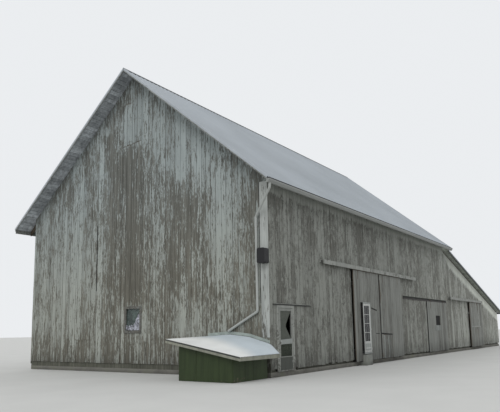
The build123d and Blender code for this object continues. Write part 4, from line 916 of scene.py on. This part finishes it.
class BARN_OT_roofs(bpy.types.Operator):
    """Ribbed metal, roof boards and edge trim of both roofs"""
    bl_idname = "barn.roofs"
    bl_label = "Roofs"

    def execute(self, context):
        sides = span("front_roof_slope", "x")
        ridge = WIDTH / 2 / math.cos(PITCH)
        slopes = (("front_roof", front_slope, span("front_roof_slope", "y")[0] / math.cos(PITCH)),
                  ("rear_roof", rear_slope, (WIDTH - span("rear_roof_slope", "y")[1]) / math.cos(PITCH)))
        rakes, closures = [], []
        lap = (WIDTH / 2 - span("ridge_cap", "y")[0]) / math.cos(PITCH) - CLOSURE_INSET
        start, end = ridge - lap, ridge - lap + CLOSURE_WIDTH
        outline = ((start, CLOSURE_FOOT), (end, CLOSURE_FOOT), (end, CLOSURE_TOP), (start, CLOSURE_TOP))
        for seed, (name, place, eave) in enumerate(slopes, 31):
            ribbed_sheet(f"{name}_metal", place, within(sides, SHEET_INSET), (eave, ridge - SHEET_TO_RIDGE),
                         f"{name}_slope")
            deck(f"{name}_boards", place, within(sides, DECK_INSET),
                 (eave + DECK_TO_EAVE, ridge - DECK_TO_RIDGE), seed)
            rakes += edge_metal(place, sides, RAKE_FOLD, (eave + 0.005, (eave + ridge) / 2, ridge - 0.02))
            closures.append([[place(x, *point) for point in outline] for x in within(sides, 0.01)])

        sides = span("leanto_roof", "y")
        reach = (span("leanto_roof", "x")[1] - LENGTH) / math.cos(LOW_PITCH)
        ribbed_sheet("leanto_roof_metal", low_slope, within(sides, SHEET_INSET), (SHEET_INSET, reach),
                     "leanto_roof")
        deck("leanto_roof_boards", low_slope, within(sides, LOW_DECK_INSET), (0.02, reach - DECK_TO_EAVE), 33,
             "leanto_deck")
        low_edges = edge_metal(low_slope, sides, LOW_FOLD, (UNDER_MAIN_ROOF, reach / 2, reach - 0.003))
        ringed_piece("rake_edge_metal", rakes, "roof_edge", slot="roof_metal")
        ringed_piece("ridge_closures", closures, "black_and_painted_shade", slot="roof_metal")
        ringed_piece("leanto_edge_metal", low_edges, "roof_edge", slot="roof_metal")

        # A black strip rising just behind the gutter's front lip: painted shade between the roof's edge and
        # the gutter
        left, right = within(span("front_gutter", "x"), 0.005)
        lip, rim = span("front_gutter", "y")[0], span("front_gutter", "z")[1]
        inner_face = ((left, lip + 0.0005, rim - 0.004), (right, lip + 0.005, rim + 0.03))
        squared_piece("gutter_rim_shade", [inner_face], "black_and_painted_shade", slot="gutter_metal", chamfer=THIN)
        return {"FINISHED"}


# Doors

# The sheet that the boards of the sliding leaves stand out of lies behind the front of the leaves' straps
STRAP = 0.009
MIDDLE_STRAP = 0.011
LEAF_FACE = span("main_right_leaf", "y")[0] + STRAP
MIDDLE_FACE = span("middle_leaf", "y")[0] + MIDDLE_STRAP
LEAF_PROUD = 0.007
LEAF_FOOT = 0.195

# Pieces fixed on the boards start just inside their face, and the black strips of painted shade at the
# leaves' edges behind them
FIXED_ON = 0.006
ON_BOARDS = LEAF_FACE - 0.0075
BEHIND_BOARDS = LEAF_FACE + 0.028
UNDER_TRACK = 0.02
MAIN_TOP = span("main_door_track", "z")[0] - UNDER_TRACK
FAR_TOP = span("far_door_track", "z")[0] - UNDER_TRACK
MIDDLE_TOP = span("middle_door_track", "z")[0] - 0.012

# Left, right, low and high of the patched corner of the right main leaf, and of the far leaf's cross seam
PATCH = (8.95, 10.02, 0.0, 1.2)
PATCH_TOP = 1.18
FAR_SEAM = (24.2, 27.4, 1.46, 1.46)

# Strips on the main leaves: ends along the wall and up, height, depth, finish and leaf
STRIPS = (
    ("main_left_door_bar", (7.7, 2.32), (8.3, 2.226), 0.055, 0.006, "seam_wood", "main_left_door"),
    ("main_left_door_crack", (8.12, 1.252), (8.6, 1.245), 0.03, 0.002, "seam_wood", "main_left_door"),
    ("main_right_door_crack", (8.76, 1.243), (10.14, 1.186), 0.055, 0.002, "black_and_painted_shade", "main_right_door"))

# The middle door's small light: its distance from the leaf's edge, its width, low and high
LIGHT_FROM_EDGE = 1.42
LIGHT_WIDTH = 0.76
LIGHT_LOW = 1.59
LIGHT_HIGH = 2.115


def strip(name, start, end, height, depth, material, body, slot="door_boards", face=ON_BOARDS):
    """A thin slanted strip on a door's face, given by its end points along the wall and up."""
    outline = ((0, -1), (-depth, -1), (-depth, 1), (0, 1))
    rings = [[at(u, face + out, z + side * height / 2) for out, side in outline] for u, z in (start, end)]
    return ringed_piece(name, [rings], material, body, slot)


def leaf_boards(name, leaf, face, seed, top, edges=None, material="door_boards", **more):
    """Boards on the front of a door leaf, whose face lies at the given distance along y."""
    left, right = edges or within(span(f"{leaf}_leaf", "x"), 0.002)
    return board_wall(name, lambda u, out, z: at(u, face - out, z), left, right, LEAF_FOOT, lambda u: top,
                      material, seed, "door_boards", f"{leaf}_door", ragged=0.025, face=LEAF_PROUD, **more)


class BARN_OT_doors(bpy.types.Operator):
    """Boards and patches of the sliding doors, and painted shade at their edges and seam, in the middle
    door's light and behind its track
    """
    bl_idname = "barn.doors"
    bl_label = "Doors"

    def execute(self, context):
        walk_door = [edge for side in "xz" for edge in within(span("walk_door_frame", side), -0.002)]
        light_left = span("middle_leaf", "x")[0] + LIGHT_FROM_EDGE
        light_right = light_left + LIGHT_WIDTH
        light = (light_left, light_right, LIGHT_LOW, LIGHT_HIGH)
        leaf_boards("main_left_boards", "main_left", LEAF_FACE, 41, MAIN_TOP, holes=(walk_door,))
        leaf_boards("main_right_boards", "main_right", LEAF_FACE, 42, MAIN_TOP, holes=(PATCH,))
        for given in STRIPS:
            strip(*given)
        leaf_boards("main_right_patch", "main_right", LEAF_FACE, 47, PATCH_TOP, edges=within(PATCH[:2], 0.01),
                    material="patch_boards")
        leaf_boards("middle_boards", "middle", MIDDLE_FACE, 43, MIDDLE_TOP, holes=(light,))
        leaf_boards("far_boards", "far", LEAF_FACE, 45, FAR_TOP, seams=(FAR_SEAM,))

        fixed = LEAF_FACE - FIXED_ON
        rail = ((24.25, LEAF_FACE - 0.032, 1.45), (26.7, fixed, 1.53))
        stile = ((26.28, LEAF_FACE - 0.026, 1.54), (26.42, fixed, FAR_TOP - 0.02))
        squared_piece("far_door_rail", (rail, stile), "casing_paint", "far_door", "door_boards")

        patch = ((light_left - 0.3, MIDDLE_FACE - 0.013, LIGHT_LOW - 0.29),
                 (light_right + 0.02, MIDDLE_FACE - FIXED_ON, LIGHT_LOW - 0.004))
        squared_piece("middle_door_patch", [patch], "patch_boards", "middle_door", "door_boards")
        # A black sheet in the middle door's light: painted shade of the dark inside, in place of glass
        dark = ((light_left, MIDDLE_FACE + 0.008, LIGHT_LOW),
                (light_right, MIDDLE_FACE + 0.012, LIGHT_HIGH))
        squared_piece("middle_door_light_shade", [dark], "black_and_painted_shade", "middle_door", "glass")

        # Black strips at the leaves' left edges: painted shade of the gap between each leaf and what lies
        # behind it
        leaves = (("main_left", BEHIND_BOARDS, MAIN_TOP), ("main_right", BEHIND_BOARDS, MAIN_TOP),
                  ("middle", MIDDLE_FACE - FIXED_ON, MIDDLE_TOP), ("far", BEHIND_BOARDS, FAR_TOP))
        for leaf, front, top in leaves:
            node = f"{leaf}_leaf"
            left, back, foot = span(node, "x")[0], span(node, "y")[1], span(node, "z")[0]
            edge = ((left - 0.0025, front, foot + 0.002), (left + 0.002, back - 0.001, top))
            squared_piece(f"{node}_dark_edge", [edge], "black_and_painted_shade", f"{leaf}_door", "door_boards", THIN)

        # A dark stile at the right leaf's left edge and a dark strip at its right edge: painted shade of the
        # seam and of the gap at its far edge
        left, right = span("main_right_leaf", "x")
        seam = ((left, LEAF_FACE - 0.0095, 0.21), (left + 0.11, fixed, MAIN_TOP - 0.01))
        far_edge = ((right - 0.03, LEAF_FACE - 0.0085, 0.22),
                    (right + 0.001, LEAF_FACE + 0.03, MAIN_TOP - 0.03))
        squared_piece("main_door_seam_shade", (seam, far_edge), "seam_wood", "main_right_door", "door_boards", THIN)
        # A dark board behind the middle door's track bar: painted shade of the bar on the wall
        left, right = within(span("middle_door_track", "x"), -0.02)
        low, high = span("middle_door_track", "z")
        behind_bar = ((left, -0.0145, low + 0.004), (right, -0.006, high + 0.055))
        squared_piece("middle_track_shade_board", [behind_bar], "seam_wood", slot="track_boards", chamfer=THIN)
        return {"FINISHED"}


# Glazing bars: half their width and half their depth, but the edge bars' whole width
UPRIGHT_BAR = (0.004, 0.007)
CROSS_BAR = (0.01, 0.009)
EDGE_BAR = (0.014, 0.017)

# Height of the moulding's foot and head, and how far the panel stays from the leaf's foot and the glass
MOULDING = (0.66, 0.7)
PANEL_EDGE = 0.085


class BARN_OT_walk_door(bpy.types.Operator):
    """Glazing bars and panels of the walk door"""
    bl_idname = "barn.walk_door"
    bl_label = "Walk door"

    def execute(self, context):
        low, high = corners("walk_door_glass")
        middle = (low.y + high.y) / 2
        bars = []
        for share in (1 / 3, 2 / 3):
            x = low.x + (high.x - low.x) * share
            half, deep = UPRIGHT_BAR
            bars.append(((x - half, middle - deep, low.z), (x + half, middle + deep, high.z)))
        for share in (1 / 4, 2 / 4, 3 / 4):
            z = low.z + (high.z - low.z) * share
            half, deep = CROSS_BAR
            bars.append(((low.x, middle - deep, z - half), (high.x, middle + deep, z + half)))
        wide, deep = EDGE_BAR
        for x in (low.x, high.x - wide):
            bars.append(((x, middle - deep, low.z), (x + wide, middle + deep, high.z)))
        for z in (low.z, high.z - wide):
            bars.append(((low.x, middle - deep, z), (high.x, middle + deep, z + wide)))
        squared_piece("walk_door_bars", bars, "door_white", "walk_door_leaf", "white_trim")
        face = span("walk_door_frame", "y")[0]
        moulding = ((low.x + 0.012, face + 0.001, MOULDING[0]), (high.x - 0.012, face + 0.013, MOULDING[1]))
        squared_piece("walk_door_mouldings", [moulding], "door_white", "walk_door_leaf", "white_trim")
        panel = ((low.x + 0.002, face + 0.0085, corners("walk_door")[0].z + PANEL_EDGE),
                 (high.x - 0.002, face + 0.0125, low.z - PANEL_EDGE))
        squared_piece("walk_door_panel", [panel], "pale_rail", "walk_door_leaf", "white_trim", THIN)
        low, high = corners("walk_door_frame")
        # A black strip on the near side of the walk door's frame: painted shade of that side
        side = ((low.x - 0.0025, low.y + 0.004, low.z + 0.01),
                (low.x + 0.001, LEAF_FACE - 0.01, high.z - 0.01))
        squared_piece("walk_door_frame_shade_side", [side], "black_and_painted_shade", "main_left_door", "white_trim", THIN)
        return {"FINISHED"}


# The torn screen: foot, head and face, its tear's width and where it is widest, and the curl of its edge
SCREEN_FOOT = 1.16
SCREEN_HEAD = 2.075
SCREEN_FACE = -0.026
TEAR = 0.29
TEAR_PLACE = 0.45
CURL = 0.035
SCREEN_ROWS = 14
SCREEN_COLUMNS = 10
SHEET = 0.0012

# The storm door's boards: foot and head of the kick panel, middle height of the slanted board at its ends
STORM_FACE = -0.04
KICK_PANEL = (0.2, 0.6)
MIDDLE_BOARD = (1.075, 1.105)

# Low and high corner of the cap and the board over the storm door's casing; the dark board just under the cap
# is painted shade of the cap's underside
DRIP_CAP = ((0.14, -0.075, 2.285), (2.58, -0.002, 2.3))
DRIP_SHADE_BOARD = ((0.16, -0.05, 2.245), (2.56, -0.002, 2.284))


class BARN_OT_storm_door(bpy.types.Operator):
    """Torn screen and kick panel of the storm door"""
    bl_idname = "barn.storm_door"
    bl_label = "Storm door"

    def execute(self, context):
        left, right = [corner.x for corner in corners("storm_door_pane")]
        rings = []
        for i in range(SCREEN_ROWS + 1):
            share = i / SCREEN_ROWS
            z = SCREEN_FOOT + (SCREEN_HEAD - SCREEN_FOOT) * share
            tear = share / TEAR_PLACE if share < TEAR_PLACE else (1.0 - share) / (1.0 - TEAR_PLACE)
            torn = right - 0.01 - TEAR * tear
            row = []
            for k in range(SCREEN_COLUMNS + 1):
                across = k / SCREEN_COLUMNS
                curl = CURL * across ** 6 * math.sin(math.pi * share)
                row.append(at(left + (torn - left) * across, SCREEN_FACE + curl, z))
            rings.append(row + [point + Vector((0, SHEET, 0)) for point in reversed(row)])
        body, slot = "storm_door_leaf", "storm_door_paint"
        ringed_piece("storm_door_screen", [rings], "screen", body, slot)
        kick_panel = ((left - 0.03, -0.043, KICK_PANEL[0]), (right + 0.03, -0.037, KICK_PANEL[1]))
        squared_piece("storm_door_kick_panel", [kick_panel], "kick_panel", body, slot)
        near_end, far_end = zip((left - 0.01, right + 0.01), MIDDLE_BOARD)
        strip("storm_door_middle_board", near_end, far_end, 0.15, 0.008, "pale_rail", body, slot, STORM_FACE)
        squared_piece("storm_door_drip_cap", [DRIP_CAP], "track_boards", slot="track_boards")
        # The dark board under the cap: painted shade
        squared_piece("storm_door_drip_shade", [DRIP_SHADE_BOARD], "dark_trim_and_shade", slot="track_boards")
        return {"FINISHED"}


# The plastic: distance from the pane's sides, foot and face, its least height, its low end and its rise
PLASTIC_EDGE = 0.012
PLASTIC_FOOT = 0.01
PLASTIC_BACK = 0.03
PLASTIC_LEAST = 0.03
PLASTIC_LOW = 0.14
PLASTIC_RISE = 0.56
PLASTIC_CURVE = 2.6
PLASTIC_ROWS = 24
PLASTIC_COLUMNS = 20


def crease(across, up, layer, size):
    """Unevenness of the plastic, the same at each run."""
    return noise.noise(Vector((across, up, layer))) * size


class BARN_OT_window(bpy.types.Operator):
    """Crumpled plastic behind the gable window"""
    bl_idname = "barn.window"
    bl_label = "Gable window"

    def execute(self, context):
        low, high = corners("window_glass")
        rings = []
        for i in range(PLASTIC_ROWS + 1):
            row = []
            for k in range(PLASTIC_COLUMNS + 1):
                across = k / PLASTIC_COLUMNS
                y = low.y + PLASTIC_EDGE + (high.y - low.y - 2 * PLASTIC_EDGE) * across
                ragged = crease(y * 11, 0.4, 3.1, 0.09) + crease(y * 31, 2.4, 7.7, 0.04)
                top = PLASTIC_LOW + PLASTIC_RISE * (1 - across) ** PLASTIC_CURVE + ragged
                z = low.z + PLASTIC_FOOT + max(PLASTIC_LEAST, top) * i / PLASTIC_ROWS
                fold = crease(y * 13, z * 9, 3.1, 0.03) + crease(y * 29, z * 23, 7.7, 0.014)
                row.append(at(low.x - PLASTIC_BACK + fold * 0.6, y, z))
            rings.append(row + [point + Vector((SHEET, 0, 0)) for point in reversed(row)])
        ringed_piece("window_plastic", [rings], "crumpled", slot="glass")
        return {"FINISHED"}


# Annex

# Height of the roof's top along its low front edge and along the gable, with bends at the same places
FRONT_LINE = ((-0.33, 0.740), (0.0, 0.800), (0.78, 0.945), (1.53, 1.082), (2.46, 1.252))
WALL_LINE = ((-0.33, 0.755), (0.0, 1.050), (0.78, 1.270), (1.53, 1.352), (2.46, 1.300))
ANNEX_REACH = 2.1
WAVE_DEPTH = 0.009
WAVE_HEIGHT = 0.008
WAVE_STEPS = 6
ROOF_ROWS = 30
ANNEX_METAL = 0.0014

# Flashing: its height over the roof, how far it stands out of the gable, and its thickness
FLASHING = 0.09
FLASHING_OUT = -0.027
FLASHING_METAL = 0.0015

# Annex boards: how far they stand out, widths, foot, gap to the roof's top, and ends on the two sides
ANNEX_PROUD = 0.008
ANNEX_WIDTHS = (0.38, 0.6)
ANNEX_FOOT = 0.012
UNDER_ANNEX_ROOF = 0.032
NEAR_SIDE_END = -0.14
FAR_SIDE_END = -0.02


def line_height(line, y):
    for (y0, z0), (y1, z1) in zip(line, line[1:]):
        if y <= y1:
            return z0 + (z1 - z0) * (y - y0) / (y1 - y0)
    return line[-1][1]


def annex_height(x, y):
    """Height of the annex roof's top over a place."""
    share = (x + ANNEX_REACH) / ANNEX_REACH
    return line_height(FRONT_LINE, y) * (1 - share) + line_height(WALL_LINE, y) * share


class BARN_OT_annex(bpy.types.Operator):
    """Corrugated roof and boards of the annex"""
    bl_idname = "barn.annex"
    bl_label = "Annex"

    def execute(self, context):
        wave = sizes().corrugation
        (x0, x1), (y0, y1) = span("annex_roof", "x"), span("annex_roof", "y")
        columns = int((x1 - x0) / wave * WAVE_STEPS)
        rings = []
        for j in range(ROOF_ROWS + 1):
            y = y0 + (y1 - y0) * j / ROOF_ROWS
            top, foot = [], []
            for i in range(columns + 1):
                x = x0 + (x1 - x0) * i / columns
                z = annex_height(x, y) - WAVE_DEPTH + WAVE_HEIGHT * math.cos(2 * math.pi * (x - x0) / wave)
                top.append(at(x, y, z))
                foot.append(at(x, y, z - ANNEX_METAL))
            rings.append(top + foot[::-1])
        ringed_piece("annex_roof_metal", [rings], "annex_metal", slot="annex_metal", smooth=True,
                     replaces=("annex_roof",))

        fold, head = FLASHING_OUT + FLASHING_METAL, FLASHING + FLASHING_METAL
        outline = ((FLASHING_OUT, 0.002), (fold, 0.002), (fold, FLASHING), (0.0, FLASHING), (0.0, head),
                   (FLASHING_OUT, head))
        rings = [[at(x, y, z + up) for x, up in outline] for y, z in WALL_LINE if y >= 0]
        ringed_piece("annex_flashing_metal", [rings], "flashing", slot="annex_metal")
        # A dark strip along the top of the fascia under the roof's low front edge: painted shadow of that
        # edge
        fascia = x0 + 0.01
        outline = ((fascia - 0.003, -0.05), (fascia - 0.003, -0.02), (fascia, -0.02), (fascia, -0.05))
        rings = [[at(x, y, z + up) for x, up in outline] for y, z in FRONT_LINE]
        ringed_piece("annex_roof_dark_edge", [rings], "dark_trim_and_shade", slot="annex_trim_paint")

        wall = span("annex_walls", "x")[0]
        near, far = span("annex_walls", "y")
        sides = (("annex_front_boards", near, far, lambda u, out: (wall - out, u)),
                 ("annex_near_boards", wall, NEAR_SIDE_END, lambda u, out: (u, near - out)),
                 ("annex_far_boards", wall, FAR_SIDE_END, lambda u, out: (u, far + out)))
        for seed, (name, start, end, spot) in enumerate(sides, 61):
            board_wall(name, lambda u, out, z, spot=spot: at(*spot(u, out), z), start, end, ANNEX_FOOT,
                       lambda u, spot=spot: annex_height(*spot(u, 0.0)) - UNDER_ANNEX_ROOF,
                       "annex_boards", seed, ragged=0.0, widths=ANNEX_WIDTHS, face=ANNEX_PROUD)
        return {"FINISHED"}


# Finishes of the carried-over nodes. The walls and leaves that aren't named here get inner_boards
NODE_FINISHES = {
    "footing": "concrete", "door_step": "step_concrete", "timber_sills": "sill_timber",
    "near_bent": "frame_timber", "second_bent": "frame_timber", "third_bent": "frame_timber",
    "far_bent": "frame_timber", "leanto_frames": "frame_timber", "plates_and_purlins": "frame_timber",
    "door_lintels": "frame_timber", "main_rafters": "frame_timber", "leanto_rafters": "frame_timber",
    "ridge_cap": "ridge_metal", "barge_boards": "roof_trim", "eave_fascias": "roof_trim",
    "leanto_trim": "dark_trim_and_shade", "front_gutter": "gutter_metal", "downspout": "spout_metal",
    "corner_board": "white_trim", "main_door_track": "track_boards", "middle_door_track": "iron",
    "far_door_track": "track_boards", "storm_door_casing": "casing_paint", "storm_door": "storm_paint",
    "storm_door_pane": "green_glass", "walk_door_frame": "pale_rail", "walk_door": "door_white",
    "walk_door_glass": "dark_glass", "window_frame": "window_wood", "window_glass": "blue_glass",
    "meter_box_and_conduit": "meter_metal", "annex_walls": "annex_boards", "annex_trim": "annex_trim",
}


class BARN_OT_finishes(bpy.types.Operator):
    """Finishes of the frame's own pieces"""
    bl_idname = "barn.finishes"
    bl_label = "Finishes"

    def execute(self, context):
        for node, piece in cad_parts.items():
            for slot in piece.material_slots:
                slot.material = finish(NODE_FINISHES.get(node, "inner_boards"))
        return {"FINISHED"}


# Stage

# The camera stands where the photograph was taken from: yaw from the gable's line, pitch up, and roll
CAMERA_PLACE = (-15.076, -9.666, 1.436)
CAMERA_YAW = math.radians(55.464)
CAMERA_PITCH = math.radians(8.551)
CAMERA_ROLL = math.radians(-0.985)
CAMERA_SENSOR = 36
CAMERA_LENS = 569.9 / 500 * CAMERA_SENSOR
CAMERA_SHIFT = (245.5 - 206) / 500
CAMERA_REACH = 1000
FLOOR_CORNERS = ((-300, -300), (340, -300), (340, 320), (-300, 320))
FLOOR_HEIGHT = -0.002

# Colour and strength of the even light and of the background, and each lamp's direction, strength and angle
SKY_LIGHT = {"Color": (0.96, 0.98, 1.0), "Strength": 0.72}
BACKGROUND = {"Color": (0.83, 0.85, 0.87), "Strength": 1.0}
LAMPS = {
    "key": ((-0.78, -0.28, 0.62), 0.75, 30),
    "fill": ((0.25, 0.55, 0.9), 0.35, 40),
}


def lay_floor():
    mesh = bmesh.new()
    mesh.faces.new([mesh.verts.new(at(x, y, FLOOR_HEIGHT)) for x, y in FLOOR_CORNERS])
    data = bpy.data.meshes.new("floor")
    mesh.to_mesh(data)
    mesh.free()
    data.materials.append(finish("floor"))
    floor = bpy.data.objects.new("floor", data)
    bpy.context.scene.collection.objects.link(floor)


def soft_sky():
    """A soft even light, with a pale background that the camera, metal and glass see instead."""
    world = bpy.data.worlds.new("soft_sky")
    world.use_nodes = True
    sky = Nodes(world.node_tree)
    rays = sky.node("ShaderNodeLightPath").outputs
    seen = sky.maths("MAXIMUM", rays["Is Glossy Ray"], rays["Is Transmission Ray"])
    seen = sky.maths("MAXIMUM", rays["Is Camera Ray"], seen)
    light = sky.node("ShaderNodeBackground", inputs=SKY_LIGHT).outputs[0]
    shown = sky.node("ShaderNodeBackground", inputs=BACKGROUND).outputs[0]
    both = sky.node("ShaderNodeMixShader", inputs={0: seen, 1: light, 2: shown})
    sky.join(both.outputs[0], world.node_tree.nodes["World Output"].inputs["Surface"])
    bpy.context.scene.world = world


def lamp(name, direction, strength, degrees):
    data = bpy.data.lights.new(name, "SUN")
    data.energy, data.angle = strength, math.radians(degrees)
    made = bpy.data.objects.new(name, data)
    made.rotation_euler = Vector(direction).to_track_quat("Z", "Y").to_euler()
    bpy.context.scene.collection.objects.link(made)


def photograph_camera():
    data = bpy.data.cameras.new("camera")
    data.lens, data.sensor_width, data.sensor_fit = CAMERA_LENS, CAMERA_SENSOR, "HORIZONTAL"
    data.shift_y = CAMERA_SHIFT
    data.clip_end = CAMERA_REACH
    level = math.cos(CAMERA_PITCH)
    ahead = Vector((math.sin(CAMERA_YAW) * level, math.cos(CAMERA_YAW) * level, math.sin(CAMERA_PITCH)))
    right = Vector((math.cos(CAMERA_YAW), -math.sin(CAMERA_YAW), 0))
    up = right.cross(ahead)
    tilted = right * math.cos(CAMERA_ROLL) + up * math.sin(CAMERA_ROLL)
    raised = up * math.cos(CAMERA_ROLL) - right * math.sin(CAMERA_ROLL)
    camera = bpy.data.objects.new("camera", data)
    turn = Matrix((tilted, raised, -ahead)).transposed().to_4x4()
    camera.matrix_world = Matrix.Translation(at(*CAMERA_PLACE)) @ turn
    bpy.context.scene.collection.objects.link(camera)
    return camera


class BARN_OT_stage(bpy.types.Operator):
    """Floor, soft light and camera"""
    bl_idname = "barn.stage"
    bl_label = "Stage"

    def execute(self, context):
        context.scene.view_settings.view_transform = "Standard"
        lay_floor()
        soft_sky()
        for name, given in LAMPS.items():
            lamp(name, *given)
        bpy.context.scene.camera = photograph_camera()
        return {"FINISHED"}


class BARN_PT_panel(bpy.types.Panel):
    """Lists the barn's steps and its sizes and colours"""
    bl_label = "Barn"
    bl_space_type = "VIEW_3D"
    bl_region_type = "UI"
    bl_category = "Barn"

    def draw(self, context):
        for group in (context.scene.barn_sizes, context.scene.barn_colours):
            column = self.layout.column()
            for name in group.__annotations__:
                column.prop(group, name)
        for step in STEPS:
            self.layout.operator(step.bl_idname)


STEPS = (BARN_OT_walls, BARN_OT_roofs, BARN_OT_doors, BARN_OT_walk_door, BARN_OT_storm_door, BARN_OT_window,
         BARN_OT_annex, BARN_OT_finishes, BARN_OT_stage)
CLASSES = (BarnSizes, BarnColours, *STEPS, BARN_PT_panel)


def register():
    for made in CLASSES:
        bpy.utils.register_class(made)
    bpy.types.Scene.barn_sizes = bpy.props.PointerProperty(type=BarnSizes)
    bpy.types.Scene.barn_colours = bpy.props.PointerProperty(type=BarnColours)


def unregister():
    del bpy.types.Scene.barn_sizes, bpy.types.Scene.barn_colours
    for made in reversed(CLASSES):
        bpy.utils.unregister_class(made)


def main():
    register()
    for step in STEPS:
        group, name = step.bl_idname.split(".")
        getattr(getattr(bpy.ops, group), name)()


if __name__ == "__main__":
    main()
